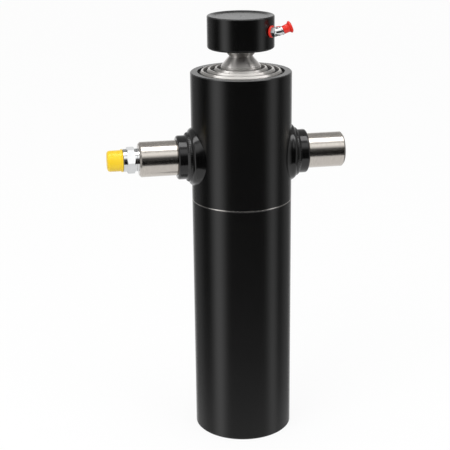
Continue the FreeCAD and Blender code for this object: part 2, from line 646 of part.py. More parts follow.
def make_port_fittings():
    body = turned_body("port_adapter", [
        ("StudStart", "OilwayRadius"),
        ("ConeStart", "OilwayRadius"),
        ("HoseEnd", "ConeMouth"),
        ("HoseEnd", "StudRadius"),
        ("CollarEnd", "StudRadius"),
        ("CollarEnd", "CollarRadius"),
        ("SealRingEnd", "CollarRadius"),
        ("SealRingEnd", "StudRadius"),
        ("StudStart", "StudRadius"),
    ], axis="H_Axis")
    sketch = new_sketch(body, "hexagon_sketch", "YZ_Plane", "HexStart")
    draw_hexagon(sketch, "HexCorner")
    draw_circle(sketch, "PortRadius")
    pad = body.newObject("PartDesign::Pad", "hexagon")
    pad.Profile = sketch
    pad.setExpression("Length", "Sizes.HexLength")
    body.Tip = pad
    inner_bevel = [("HexStart", "HexFlat"), ("HexStart", "HexOver"), ("HexBevelStart", "HexOver")]
    outer_bevel = [("HexEnd", "HexFlat"), ("HexEnd", "HexOver"), ("HexBevelEnd", "HexOver")]
    turn_shape(body, "inner_bevel", inner_bevel, axis="H_Axis", kind="Groove")
    turn_shape(body, "outer_bevel", outer_bevel, axis="H_Axis", kind="Groove")
    aim_left(body)
    aim_left(turned_body("bonded_seal", [
        ("PinReach", "PortRadius"),
        ("SealRingEnd", "PortRadius"),
        ("SealRingEnd", "SealRingRadius"),
        ("PinReach", "SealRingRadius"),
    ], axis="H_Axis"))


def measure_port_cap():
    work_out("CapStart", "CollarEnd + Sizes.SeatGap")
    work_out("CapInside", "PortRadius")
    work_out("CapOutside", "CapInside + Sizes.CapWall")
    work_out("CapRimRadius", "CapOutside + Sizes.CapRim")
    work_out("CapRimEnd", "CapStart + Sizes.CapRimWidth")
    work_out("CapRoof", "CapStart + Sizes.CapSkirt")
    work_out("CapEnd", "CapRoof + Sizes.CapWall")


def make_port_cap():
    body = turned_body("port_cap", [
        ("CapStart", "CapInside"),
        ("CapRoof", "CapInside"),
        ("CapRoof", "Zero"),
        ("CapEnd", "Zero"),
        ("CapEnd", "CapOutside"),
        ("CapRimEnd", "CapOutside"),
        ("CapRimEnd", "CapRimRadius"),
        ("CapStart", "CapRimRadius"),
    ], axis="H_Axis")
    along = FreeCAD.Vector(1, 0, 0)
    round_edges(body, "cap_round", "CapRound", ("CapOutside", "CapEnd"), along)
    aim_left(body)


# Rings and seals of one gland


def make_gland(outer, inner):
    """Wiper, seal and upper guide ring inside the top of one tube."""
    stem = STEMS[outer]
    turned_body(stem + "_wiper", [
        (stem + "_heel", outer + "WiperFloor"),
        (outer + "MouthTouch", outer + "WiperFloor"),
        (outer + "MouthTouch", stem + "_shelf"),
        (stem + "_lip_back", stem + "_shelf"),
        (stem + "_heel", stem + "_lip"),
        (inner + "Touch", stem + "_lip"),
    ])
    turned_body(stem + "_seal", [
        (inner + "Touch", stem + "_seal_low"),
        (stem + "_vee_inside", stem + "_seal_low"),
        (stem + "_vee_middle", stem + "_vee"),
        (stem + "_vee_outside", stem + "_seal_low"),
        (outer + "SealTouch", stem + "_seal_low"),
        (outer + "SealTouch", stem + "_seal_high"),
        (inner + "Touch", stem + "_seal_high"),
    ])
    split_ring(stem + "_guide_ring", inner + "Touch", outer + "GuideTouch")


def make_foot_rings(outer, inner):
    """Foot guide ring and stop ring round the foot of one tube."""
    split_ring(STEMS[inner] + "_foot_guide", inner + "GrooveTouch", outer + "BoreTouch")
    split_ring(STEMS[inner] + "_stop_ring", inner + "GrooveTouch", inner + "StopRadius")


def foot_corners(tube):
    """Outside of a tube's foot, from the stop ring groove down, as outline corners."""
    return [
        (tube + "Radius", tube + "StopTop"),
        (tube + "GrooveRadius", tube + "StopTop"),
        (tube + "GrooveRadius", tube + "StopFloor"),
        (tube + "Radius", tube + "StopFloor"),
        (tube + "Radius", tube + "FootGuideTop"),
        (tube + "GrooveRadius", tube + "FootGuideTop"),
        (tube + "GrooveRadius", tube + "FootGuideFloor"),
        (tube + "Radius", tube + "FootGuideFloor"),
        (tube + "Radius", tube + "Foot"),
    ]


def measure_stages():
    work_out("OilHoleRadius", "Sizes.OilHoleDiameter / 2")
    for tube in ("Stage1", "Stage2", "Stage3"):
        work_out(tube + "EdgeRadius", "%sRadius - Sizes.StageChamfer" % tube)
        work_out(tube + "EdgeFloor", "%sTop - Sizes.StageChamfer" % tube)
        work_out(tube + "OilHoles", "%sFoot + Sizes.OilHoleHeight" % tube)


def make_stage(tube):
    """Stage tube with its gland, foot grooves, carrier groove and oil holes."""
    stem = STEMS[tube]
    carrier = [
        (tube + "BoreRadius", tube + "Foot"),
        (tube + "BoreRadius", tube + "CarrierFloor"),
        (tube + "CarrierRadius", tube + "CarrierFloor"),
        (tube + "CarrierRadius", tube + "CarrierTop"),
        (tube + "BoreRadius", tube + "CarrierTop"),
    ]
    edge = [(tube + "EdgeRadius", tube + "Top"), (tube + "Radius", tube + "EdgeFloor")]
    corners = carrier + gland_corners(tube) + edge + foot_corners(tube)
    body = turned_body(stem + "_tube", corners)
    hole = cut_hole(body, stem + "_oil_hole", "XZ_Plane", "OilHoleRadius", height=tube + "OilHoles")
    pattern = body.newObject("PartDesign::PolarPattern", stem + "_oil_holes")
    pattern.Originals = [hole]
    pattern.Axis = (hole.Profile[0], ["V_Axis"])
    pattern.Angle = 360
    pattern.setExpression("Occurrences", "Sizes.OilHoleCount")
    body.Tip = pattern
    split_ring(stem + "_carrier_ring", tube + "CarrierInside", tube + "CarrierTouch")


def make_stages():
    for outer, inner in NESTED:
        make_gland(outer, inner)
        if inner != "Plunger":
            make_stage(inner)
        make_foot_rings(outer, inner)


# Plunger, ball and cup


def measure_plunger():
    work_out("PlungerBoreRadius", "PlungerRadius - Sizes.PlungerWall")
    work_out("PlungerEdge", "PlungerRadius - Sizes.PlungerChamfer")
    work_out("PlungerEdgeFloor", "PlungerTop - Sizes.PlungerChamfer")
    work_out("PlugRadius", "PlungerBoreRadius - Sizes.FitGap")
    work_out("PlugFloor", "PlungerFoot + Sizes.PlugInset")
    work_out("PlugTop", "PlugFloor + Sizes.PlugThickness")
    work_out("BallRadius", "Sizes.BallDiameter / 2")
    work_out("BallHeight", "PlungerTop + Sizes.BallRise")
    work_out("NeckRadius", "Sizes.NeckDiameter / 2")
    work_out("ConeRadius", "Sizes.ConeDiameter / 2")
    work_out("ConeFloor", "PlungerTop + Sizes.ConeRim")
    work_out("ConeTop", "ConeFloor + (ConeRadius - NeckRadius) / Sizes.ConeRatio")
    work_out("NeckTop", "BallHeight - sqrt(BallRadius ^ 2 - NeckRadius ^ 2)")
    work_out("BallFlatHeight", "BallHeight + sqrt(BallRadius ^ 2 - Sizes.BallFlat ^ 2)")
    work_out("RootFloor", "PlungerTop - Sizes.RootLength")
    work_out("RootBevelTop", "RootFloor + Sizes.RootBevel")
    work_out("RootBevelRadius", "PlugRadius - Sizes.RootBevel")


def make_plunger():
    top = [
        ("PlungerBoreRadius", "PlungerTop"),
        ("PlungerEdge", "PlungerTop"),
        ("PlungerRadius", "PlungerEdgeFloor"),
    ]
    foot = foot_corners("Plunger")
    turned_body("plunger_tube", [("PlungerBoreRadius", "PlungerFoot")] + top + foot)
    turned_body("plunger_plug", [
        ("Zero", "PlugFloor"),
        ("PlugRadius", "PlugFloor"),
        ("PlugRadius", "PlugTop"),
        ("Zero", "PlugTop"),
    ])
    turned_body("ball_end", [
        ("Zero", "RootFloor"),
        ("RootBevelRadius", "RootFloor"),
        ("PlugRadius", "RootBevelTop"),
        ("PlugRadius", "PlungerTop"),
        ("ConeRadius", "PlungerTop"),
        ("ConeRadius", "ConeFloor"),
        ("NeckRadius", "ConeTop"),
        ("NeckRadius", "NeckTop"),
        ("BallFlat", "BallFlatHeight"),
        ("Zero", "BallFlatHeight"),
    ], arcs=[(7, 1)])


def measure_cup():
    work_out("CupRadius", "Sizes.CupDiameter / 2")
    work_out("CupEdgeRadius", "CupRadius - Sizes.CupChamfer")
    work_out("CupFoot", "BallHeight - Sizes.CupDrop")
    work_out("CupTop", "CupFoot + Sizes.CupLength")
    work_out("CupEdgeFloor", "CupTop - Sizes.CupChamfer")
    work_out("CupDishRadius", "CupRadius - Sizes.CupRim")
    work_out("CupDishFloor", "CupTop - Sizes.CupRecessDepth")
    work_out("CupSeatRadius", "BallRadius + Sizes.FitGap")
    work_out("CupSeatTop", "BallHeight + CupSeatRadius")
    work_out("WireRadius", "Sizes.WireDiameter / 2")
    work_out("WireHeight", "CupFoot + Sizes.WireRise")
    work_out("WireDrop", "BallHeight - WireHeight")
    work_out("WireReach", "BallRadius + Sizes.FitGap + WireRadius")
    work_out("WireRingRadius", "sqrt(WireReach ^ 2 - WireDrop ^ 2)")
    work_out("WireGrooveRadius", "WireRingRadius + WireRadius + Sizes.FitGap")
    work_out("WireGrooveTop", "WireHeight + WireRadius + Sizes.FitGap")
    work_out("WireGrooveFloor", "WireHeight - WireRadius - Sizes.FitGap")
    work_out("CupMouthTop", "CupFoot + Sizes.CupMouthBevel")
    work_out("CupMouthRadius", "CupSeatRadius + Sizes.CupMouthBevel")
    work_out("NippleHeight", "CupFoot + Sizes.NippleRise")
    work_out("GreasewayRadius", "Sizes.GreasewayDiameter / 2")
    work_out("NippleHole", "Sizes.NippleThread / 2 + Sizes.FitGap")
    work_out("NippleHoleFloor", "CupRadius - Sizes.NippleDepth")


def make_cup():
    body = turned_body("ball_cup", [
        ("CupMouthRadius", "CupFoot"),
        ("CupRadius", "CupFoot"),
        ("CupRadius", "CupEdgeFloor"),
        ("CupEdgeRadius", "CupTop"),
        ("CupDishRadius", "CupTop"),
        ("CupDishRadius", "CupDishFloor"),
        ("Zero", "CupDishFloor"),
        ("Zero", "CupSeatTop"),
        ("CupSeatRadius", "BallHeight"),
        ("CupSeatRadius", "WireGrooveTop"),
        ("WireGrooveRadius", "WireGrooveTop"),
        ("WireGrooveRadius", "WireGrooveFloor"),
        ("CupSeatRadius", "WireGrooveFloor"),
        ("CupSeatRadius", "CupMouthTop"),
    ], arcs=[(7, -1)])
    upward = FreeCAD.Vector(0, 0, 1)
    round_edges(body, "cup_round", "CupRound", ("CupRadius", "CupFoot"), upward)
    cut_hole(body, "greaseway", "YZ_Plane", "GreasewayRadius", height="NippleHeight")
    seat = {"height": "NippleHeight", "offset": "NippleHoleFloor"}
    cut_hole(body, "nipple_hole", "YZ_Plane", "NippleHole", **seat)
    body.Placement.Rotation = FreeCAD.Rotation(FreeCAD.Vector(0, 0, 1), value("AzimuthAngle"))
    ring = doc.addObject("Part::Torus", "cup_retaining_ring")
    ring.Label = "cup_retaining_ring"
    ring.setExpression("Radius1", "Worked.WireRingRadius")
    ring.setExpression("Radius2", "Worked.WireRadius")
    ring.setExpression("Angle3", "Sizes.RingAngle")
    ring.setExpression("Placement.Base.z", "Worked.WireHeight")


# Grease nipple and its dust cap. The nipple's own +X runs out along its thread.


def nipple_frame():
    """Place of the nipple's thread axis: out of the cup's side, then rolled about itself."""
    azimuth = FreeCAD.Rotation(FreeCAD.Vector(0, 0, 1), value("AzimuthAngle"))
    roll = FreeCAD.Rotation(FreeCAD.Vector(1, 0, 0), value("RollAngle"))
    lift = FreeCAD.Vector(0, 0, value("NippleHeight"))
    return FreeCAD.Placement(lift, azimuth.multiply(roll))


def head_frame():
    """Place of the nipple's head, whose own +X runs out of the bend."""
    bend = FreeCAD.Rotation(FreeCAD.Vector(0, 1, 0), -value("BendAngle"))
    elbow = FreeCAD.Placement(FreeCAD.Vector(value("ElbowReach"), 0, 0), bend)
    return nipple_frame().multiply(elbow)


def measure_nipple():
    work_out("ThreadRadius", "Sizes.NippleThread / 2")
    work_out("ThreadStart", "NippleHoleFloor + Sizes.SeatGap")
    work_out("TetherStart", "CupRadius + Sizes.SideGap")
    work_out("TetherEnd", "TetherStart + Sizes.TetherThickness")
    work_out("NippleHexCorner", "Sizes.NippleHexFlats / sqrt(3)")
    work_out("ElbowReach", "CupRadius + Sizes.NippleElbow")
    work_out("ElbowRadius", "Sizes.NippleBarrel / 2")
    work_out("NippleCollarRadius", "Sizes.NippleCollar / 2")
    work_out("NippleCollarEnd", "Sizes.NippleCollarStart + Sizes.NippleCollarWidth")
    work_out("NippleHeadRadius", "Sizes.NippleHead / 2")
    work_out("NippleHeadEnd", "NippleCollarEnd + Sizes.NippleHeadLength")
    work_out("NippleTipRadius", "NippleHeadRadius - Sizes.NippleTipBevel")
    work_out("NippleTipStart", "NippleHeadEnd - Sizes.NippleTipBevel")


def make_nipple():
    body = turned_body("grease_nipple", [
        ("ThreadStart", "Zero"),
        ("ElbowReach", "Zero"),
        ("ElbowReach", "ElbowRadius"),
        ("TetherEnd", "ElbowRadius"),
        ("TetherEnd", "ThreadRadius"),
        ("ThreadStart", "ThreadRadius"),
    ], axis="H_Axis")
    sketch = new_sketch(body, "nipple_hexagon_sketch", "YZ_Plane", "TetherEnd")
    draw_hexagon(sketch, "NippleHexCorner")
    pad = body.newObject("PartDesign::Pad", "nipple_hexagon")
    pad.Profile = sketch
    pad.setExpression("Length", "Sizes.NippleHexLength")
    body.Tip = pad
    elbow = body.newObject("PartDesign::AdditiveSphere", "nipple_elbow")
    elbow.setExpression("Radius", "Worked.ElbowRadius")
    elbow.Placement.Base = FreeCAD.Vector(value("ElbowReach"), 0, 0)
    body.Tip = elbow
    head = new_sketch(body, "nipple_head_sketch", "XZ_Plane")
    tilt = FreeCAD.Rotation(FreeCAD.Vector(0, 0, 1), value("BendAngle"))
    head.AttachmentOffset = FreeCAD.Placement(FreeCAD.Vector(value("ElbowReach"), 0, 0), tilt)
    draw_outline(head, [
        ("Zero", "Zero"),
        ("NippleHeadEnd", "Zero"),
        ("NippleHeadEnd", "NippleTipRadius"),
        ("NippleTipStart", "NippleHeadRadius"),
        ("NippleCollarEnd", "NippleHeadRadius"),
        ("NippleCollarEnd", "NippleCollarRadius"),
        ("NippleCollarStart", "NippleCollarRadius"),
        ("NippleCollarStart", "ElbowRadius"),
        ("Zero", "ElbowRadius"),
    ])
    turned = body.newObject("PartDesign::Revolution", "nipple_head")
    turned.Profile = head
    turned.ReferenceAxis = (head, ["H_Axis"])
    turned.Angle = 360
    body.Tip = turned
    body.Placement = nipple_frame()


def measure_dust_cap():
    work_out("TetherRadius", "Sizes.TetherDiameter / 2")
    work_out("TetherHole", "ThreadRadius + Sizes.FitGap")
    work_out("DustCapStart", "NippleCollarEnd + Sizes.SeatGap")
    work_out("DustCapEnd", "DustCapStart + Sizes.DustCapLength")
    work_out("DustCapRadius", "Sizes.DustCapDiameter / 2")
    work_out("DustCapInside", "NippleHeadRadius + Sizes.FitGap")
    work_out("DustCapRoof", "NippleHeadEnd + Sizes.SeatGap")
    work_out("DustCapRimRadius", "Sizes.DustCapRim / 2")
    work_out("DustCapRimStart", "DustCapEnd - Sizes.DustCapRimWidth")
    work_out("DustCapRimEdge", "DustCapRimRadius - Sizes.DustCapBevel")
    work_out("DustCapRimEdgeStart", "DustCapEnd - Sizes.DustCapBevel")


def make_dust_cap():
    ring = turned_body("nipple_cap_ring", [
        ("TetherStart", "TetherHole"),
        ("TetherEnd", "TetherHole"),
        ("TetherEnd", "TetherRadius"),
        ("TetherStart", "TetherRadius"),
    ], axis="H_Axis")
    ring.Placement = nipple_frame()
    cap = turned_body("nipple_cap", [
        ("DustCapStart", "DustCapInside"),
        ("DustCapRoof", "DustCapInside"),
        ("DustCapRoof", "Zero"),
        ("DustCapEnd", "Zero"),
        ("DustCapEnd", "DustCapRimEdge"),
        ("DustCapRimEdgeStart", "DustCapRimRadius"),
        ("DustCapRimStart", "DustCapRimRadius"),
        ("DustCapRimStart", "DustCapRadius"),
        ("DustCapStart", "DustCapRadius"),
    ], axis="H_Axis")
    cap.Placement = head_frame()


def make_strap():
    """Flat strap of the dust cap, bent over the nipple from the ring to the cap."""
    up = FreeCAD.Vector(0, 0, 1)
    thickness = value("StrapThickness")
    thread, head = nipple_frame(), head_frame()
    out = thread.Rotation.multVec(FreeCAD.Vector(1, 0, 0))
    ahead = head.Rotation.multVec(FreeCAD.Vector(1, 0, 0))
    lean = (up - ahead * up.dot(ahead)).normalize()
    ring_side = thread.Base + out * (value("TetherEnd") - value("TetherThickness") / 2)
    start = ring_side + up * (value("TetherRadius") + value("FitGap"))
    end = head.Base + ahead * (value("NippleCollarEnd") - value("FitGap"))
    end = end + lean * (value("NippleCollarRadius") + value("FitGap") + thickness / 2)
    middle = (start + end) * 0.5 + up * value("StrapBulge")
    bow = Part.Arc(start, middle, end).toShape()
    path = Part.Wire([bow])
    along = bow.tangentAt(bow.FirstParameter)
    inward = (bow.Curve.Center - start).normalize()
    half = inward.cross(along).normalize() * (value("StrapWidth") / 2)
    outward = inward * (-thickness)
    corners = [start - half, start + half, start + half + outward, start - half + outward]
    section = Part.makePolygon(corners + corners[:1])
    strap = doc.addObject("Part::Feature", "nipple_cap_strap")
    strap.Label = "nipple_cap_strap"
    strap.Shape = path.makePipeShell([section], True, True)


measure_tubes()
measure_base()
measure_head()
measure_trunnions()
measure_port_fittings()
measure_port_cap()
measure_stages()
measure_plunger()
measure_cup()
measure_nipple()
measure_dust_cap()
doc.recompute()

make_base()
make_head()
make_trunnions()
make_port_fittings()
make_port_cap()
make_stages()
make_plunger()
make_cup()
make_nipple()
make_dust_cap()
make_strap()
doc.recompute()

NODES = [item for item in doc.Objects if item.TypeId == "PartDesign::Body"]
NODES += [doc.getObject(label) for label in ("trunnion_weld_left", "trunnion_weld_right")]
NODES += [doc.getObject(label) for label in ("cup_retaining_ring", "nipple_cap_strap")]

faults = [item.Name for item in doc.Objects if {"Invalid", "Error"} & set(item.State)]
faults += [node.Label for node in NODES if node.Shape.isNull() or not node.Shape.isValid()]
faults += [node.Label for node in NODES if len(node.Shape.Solids) != 1]
if faults:
    raise RuntimeError("these did not build: " + ", ".join(faults))

os.makedirs("parts", exist_ok=True)
for node in NODES:
    node.Shape.exportStep(os.path.join("parts", node.Label + ".step"))
    print("%-24s %10.1f mm3" % (node.Label, node.Shape.Volume))
for outer, inner in NESTED:
    print("stroke of %s: %.2f mm" % (inner, value(inner + "Stroke")))
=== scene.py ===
import ast
import math
import bmesh
import bpy
from mathutils import Matrix, Vector


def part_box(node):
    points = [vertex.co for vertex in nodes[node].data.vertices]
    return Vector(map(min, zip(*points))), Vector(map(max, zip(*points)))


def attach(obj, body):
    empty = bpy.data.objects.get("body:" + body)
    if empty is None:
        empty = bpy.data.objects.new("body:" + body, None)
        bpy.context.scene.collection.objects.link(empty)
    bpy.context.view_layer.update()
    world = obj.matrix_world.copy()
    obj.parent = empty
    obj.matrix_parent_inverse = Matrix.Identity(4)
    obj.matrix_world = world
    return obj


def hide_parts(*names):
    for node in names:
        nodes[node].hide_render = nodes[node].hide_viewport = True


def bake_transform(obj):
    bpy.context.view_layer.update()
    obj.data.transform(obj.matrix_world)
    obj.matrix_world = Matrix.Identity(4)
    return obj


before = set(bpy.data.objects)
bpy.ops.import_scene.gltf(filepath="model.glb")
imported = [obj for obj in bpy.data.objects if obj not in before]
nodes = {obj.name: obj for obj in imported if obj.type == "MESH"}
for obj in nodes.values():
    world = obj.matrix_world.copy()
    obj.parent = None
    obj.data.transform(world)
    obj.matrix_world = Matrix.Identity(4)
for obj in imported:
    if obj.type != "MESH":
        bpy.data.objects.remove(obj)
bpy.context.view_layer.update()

# Telescopic tipping cylinder, closed. Lengths are written in millimetres, times MM.
# The frame has +Z up the cylinder and +X along the trunnions, the oil port at -X.
MM = 0.001
TAU = 2 * math.pi

BARREL_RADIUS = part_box("barrel_tube")[1].x
JOINT_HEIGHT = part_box("trunnion_head")[0].z
TRUNNION_HEIGHT = (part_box("trunnion_right")[0].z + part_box("trunnion_right")[1].z) / 2
PIN_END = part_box("trunnion_right")[1].x
PIN_LENGTH = 43 * MM
SHOULDER_FACE = PIN_END - PIN_LENGTH
SHOULDER_RADIUS = 25 * MM
PLUNGER_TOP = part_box("plunger_tube")[1].z
CUP_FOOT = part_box("ball_cup")[0].z
CUP_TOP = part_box("ball_cup")[1].z
CUP_RADIUS = 37.5 * MM
CUP_DROP = 7 * MM
BALL_HEIGHT = CUP_FOOT + CUP_DROP

# Gaps of a running or seated fit, and under a seat.
FIT_GAP = 0.05 * MM
SEAT_GAP = 0.3 * MM

# Colour sockets of a mix node: its two ends and its result.
MIX_A, MIX_B, MIX_OUT = 6, 7, 2
# Points closer than this are one point.
SAME = 0.0005 * MM

OPERATORS = {
    ast.Add: "ADD",
    ast.Sub: "SUBTRACT",
    ast.Mult: "MULTIPLY",
    ast.Div: "DIVIDE",
    ast.Mod: "FLOORED_MODULO",
}
FUNCTIONS = {
    "sin": "SINE",
    "cos": "COSINE",
    "sqrt": "SQRT",
    "abs": "ABSOLUTE",
    "min": "MINIMUM",
    "max": "MAXIMUM",
    "atan2": "ARCTAN2",
    "more": "GREATER_THAN",
}


def feed(tree, node, inputs):
    """Gives inputs of a node a number, a colour or a socket each."""
    for name, source in inputs.items():
        if isinstance(source, bpy.types.NodeSocket):
            tree.links.new(source, node.inputs[name])
        else:
            node.inputs[name].default_value = source


def add(tree, kind, inputs=None, **settings):
    """Adds a node with its settings and links."""
    made = tree.nodes.new(kind)
    for name, setting in settings.items():
        setattr(made, name, setting)
    feed(tree, made, inputs or {})
    return made


def formula(tree, text, values):
    """Works a formula in named values out, each a number or a socket."""

    def build(part):
        if isinstance(part, ast.Constant):
            return part.value
        if isinstance(part, ast.Name):
            return values[part.id]
        if isinstance(part, ast.UnaryOp):
            operation, parts = "MULTIPLY", [ast.Constant(-1.0), part.operand]
        elif isinstance(part, ast.Call):
            operation, parts = FUNCTIONS[part.func.id], part.args
        else:
            operation, parts = OPERATORS[type(part.op)], [part.left, part.right]
        inputs = dict(enumerate(build(each) for each in parts))
        return add(tree, "ShaderNodeMath", inputs, operation=operation).outputs[0]

    return build(ast.parse(text).body[0].value)


def formulas(tree, lines, values):
    """Works lines of the form name = formula out in turn and returns every named value."""
    known = {"pi": math.pi, "tau": TAU, **values}
    for line in lines.strip().splitlines():
        name, text = line.split("=", 1)
        known[name.strip()] = formula(tree, text.strip(), known)
    return known


def linear(code):
    """Linear colour of an sRGB hex value."""
    parts = [int(code[place:place + 2], 16) / 255 for place in (1, 3, 5)]
    lit = [((part + 0.055) / 1.055) ** 2.4 if part > 0.04045 else part / 12.92 for part in parts]
    return (*lit, 1.0)


# Materials


def new_material(name, colour, **shader_values):
    """Material with one Principled shader, whose constants are set on its own sockets."""
    made = bpy.data.materials.new(name)
    made.use_nodes = True
    tree = made.node_tree
    shader = tree.nodes["Principled BSDF"]
    shader.inputs["Base Color"].default_value = linear(colour)
    for socket, amount in shader_values.items():
        shader.inputs[socket.replace("_", " ")].default_value = amount
    return made, tree, shader


def object_point(tree):
    """Object coordinates and their three parts."""
    place = add(tree, "ShaderNodeTexCoord").outputs["Object"]
    parts = add(tree, "ShaderNodeSeparateXYZ", {0: place}).outputs
    return place, {"x": parts[0], "y": parts[1], "z": parts[2]}


def satin_enamel(name, roughness, peel):
    """Two-pack enamel, sprayed on steel: deep black, wide soft highlights, faint orange peel."""
    made, tree, shader = new_material(name, ENAMEL_BLACK, IOR=ENAMEL_IOR)
    place, _ = object_point(tree)
    drift = {"Vector": place, "Scale": 1 / ENAMEL_CLOUD, "Detail": 3.0}
    cloud = add(tree, "ShaderNodeTexNoise", drift)
    grain = add(tree, "ShaderNodeTexNoise", {"Vector": place, "Scale": 1 / ENAMEL_GRAIN})
    lines = """
    rough = base + cloudy * (cloud - 0.5) + grainy * (grain - 0.5)
    """
    values = {"base": roughness, "cloudy": 0.04, "grainy": 0.03}
    values["cloud"], values["grain"] = cloud.outputs["Fac"], grain.outputs["Fac"]
    rough = formulas(tree, lines, values)["rough"]
    relief = add(tree, "ShaderNodeBump", {"Height": values["grain"], "Distance": peel})
    feed(tree, shader, {"Roughness": rough, "Normal": relief.outputs[0]})
    return made, tree, shader


def worn_edge_enamel():
    """The same enamel on the trunnion head, down to a bright bare line at its lower edge."""
    made, tree, shader = satin_enamel("satin_enamel_worn_edge", BODY_GLOSS, BODY_PEEL)
    place, point = object_point(tree)
    patches = {"Vector": place, "Scale": 1 / WEAR_PATCH, "Detail": 4.0}
    wear = add(tree, "ShaderNodeTexNoise", patches).outputs["Fac"]
    lines = """
    rise = z - foot
    width = line * (0.75 + 0.5 * wear)
    bare = more(width, rise) * more(rise, below)
    """
    values = {"foot": JOINT_HEIGHT, "line": 0.95 * MM, "below": -0.1 * MM, "wear": wear}
    bare = formulas(tree, lines, {**values, **point})["bare"]
    ends = {"Factor": bare, MIX_A: linear(ENAMEL_BLACK), MIX_B: linear(BARE_EDGE)}
    colour = add(tree, "ShaderNodeMix", ends, data_type="RGBA").outputs[MIX_OUT]
    feed(tree, shader, {"Base Color": colour, "Metallic": bare})
    return made


def turned_steel():
    """Trunnion: a bare turned pin, ringed by the tool, and a shoulder in gloss black enamel."""
    made, tree, shader = new_material("turned_steel_and_enamel", PIN_STEEL, IOR=ENAMEL_IOR)
    place, point = object_point(tree)
    patches = {"Vector": place, "Scale": 1 / PIN_SMEAR, "Detail": 4.0}
    smear = add(tree, "ShaderNodeTexNoise", patches)
    stretched = add(tree, "ShaderNodeMapping", {"Vector": place, "Scale": TOOL_RINGS}).outputs[0]
    spacing = {"Vector": stretched, "Scale": 1 / PIN_RING, "Detail": 5.0, "Roughness": 0.7}
    rings = add(tree, "ShaderNodeTexNoise", spacing)
    lines = """
    reach = abs(x)
    bare = more(reach, shoulder)
    stain = bare * more(shoulder + mask, reach) * (0.35 + 0.5 * smear)
    rough = bare * (steel_gloss + 0.05 * rings + 0.05 * smear) + (1 - bare) * enamel_gloss
    groove = bare * rings
    """
    values = {"shoulder": SHOULDER_FACE + 0.1 * MM, "mask": 0.9 * MM}
    values.update(steel_gloss=0.15, enamel_gloss=0.13)
    values["rings"], values["smear"] = rings.outputs["Fac"], smear.outputs["Fac"]
    known = formulas(tree, lines, {**values, **point})
    ends = {"Factor": values["rings"], MIX_A: linear(RING_DARK), MIX_B: linear(RING_BRIGHT)}
    bright = add(tree, "ShaderNodeMix", ends, data_type="RGBA").outputs[MIX_OUT]
    ends = {"Factor": known["stain"], MIX_A: bright, MIX_B: linear(OIL_STAIN)}
    stained = add(tree, "ShaderNodeMix", ends, data_type="RGBA").outputs[MIX_OUT]
    ends = {"Factor": known["bare"], MIX_A: linear(SHOULDER_BLACK), MIX_B: stained}
    colour = add(tree, "ShaderNodeMix", ends, data_type="RGBA").outputs[MIX_OUT]
    relief = add(tree, "ShaderNodeBump", {"Height": known["groove"], "Distance": PIN_RELIEF})
    feed(tree, shader, {"Base Color": colour, "Metallic": known["bare"]})
    feed(tree, shader, {"Roughness": known["rough"], "Normal": relief.outputs[0]})
    return made


def steel(name, colours, roughness, ring_width, depth, grooved=0.0):
    """Bare steel turned or ground round the cylinder's axis, in fine level rings.

    The grooves are too fine to draw, so they show as highlights drawn out across them.
    """
    made, tree, shader = new_material(name, colours[0], Metallic=1.0, Anisotropic=grooved)
    shader.inputs["Anisotropic Rotation"].default_value = ACROSS_GROOVES
    place, point = object_point(tree)
    along = add(tree, "ShaderNodeTangent", direction_type="RADIAL", axis="Z")
    radius = formula(tree, "sqrt(x * x + y * y)", point)
    level = add(tree, "ShaderNodeCombineXYZ", {0: radius, 2: point["z"]}).outputs[0]
    spacing = {"Vector": level, "Scale": 1 / ring_width, "Detail": 4.0, "Roughness": 0.7}
    rings = add(tree, "ShaderNodeTexNoise", spacing).outputs["Fac"]
    patches = {"Vector": place, "Scale": 1 / TUBE_SMEAR, "Detail": 3.0}
    smear = add(tree, "ShaderNodeTexNoise", patches)
    lines = """
    rough = base * (0.75 + 0.35 * rings + 0.3 * smear)
    """
    values = {"base": roughness, "rings": rings, "smear": smear.outputs["Fac"]}
    rough = formulas(tree, lines, values)["rough"]
    ends = {"Factor": rings, MIX_A: linear(colours[0]), MIX_B: linear(colours[1])}
    colour = add(tree, "ShaderNodeMix", ends, data_type="RGBA").outputs[MIX_OUT]
    relief = add(tree, "ShaderNodeBump", {"Height": rings, "Distance": depth})
    feed(tree, shader, {"Tangent": along.outputs[0], "Base Color": colour})
    feed(tree, shader, {"Roughness": rough, "Normal": relief.outputs[0]})
    return made


def clouded(name, colours, rough, patch, relief_scale, relief_depth, **shader_values):
    """Finish that drifts between two colours and two gloss levels, over a fine relief.

    The rough pair is the roughness where the drift is 0 and what is added where it is 1.
    """
    made, tree, shader = new_material(name, colours[0], **shader_values)
    place, _ = object_point(tree)
    drift = add(tree, "ShaderNodeTexNoise", {"Vector": place, "Scale": 1 / patch, "Detail": 4.0})
    grain = add(tree, "ShaderNodeTexNoise", {"Vector": place, "Scale": 1 / relief_scale})
    values = {"low": rough[0], "gain": rough[1], "drift": drift.outputs["Fac"]}
    roughness = formula(tree, "low + gain * drift", values)
    ends = {"Factor": values["drift"], MIX_A: linear(colours[0]), MIX_B: linear(colours[1])}
    colour = add(tree, "ShaderNodeMix", ends, data_type="RGBA").outputs[MIX_OUT]
    bumps = {"Height": grain.outputs["Fac"], "Distance": relief_depth}
    relief = add(tree, "ShaderNodeBump", bumps).outputs[0]
    feed(tree, shader, {"Base Color": colour, "Roughness": roughness, "Normal": relief})
    return made


def polyethylene(name, colours, rough):
    """Soft moulded polyethylene: even, saturated colour under a dull gloss, slightly milky."""
    milk = {"Subsurface_Weight": 0.12, "Subsurface_Radius": (1.0, 0.6, 0.3)}
    milk["Subsurface_Scale"] = 1.2 * MM
    surface = {"patch": 7 * MM, "relief_scale": 0.35 * MM, "relief_depth": 0.01 * MM}
    return clouded(name, colours, rough, **surface, IOR=1.51, **milk)


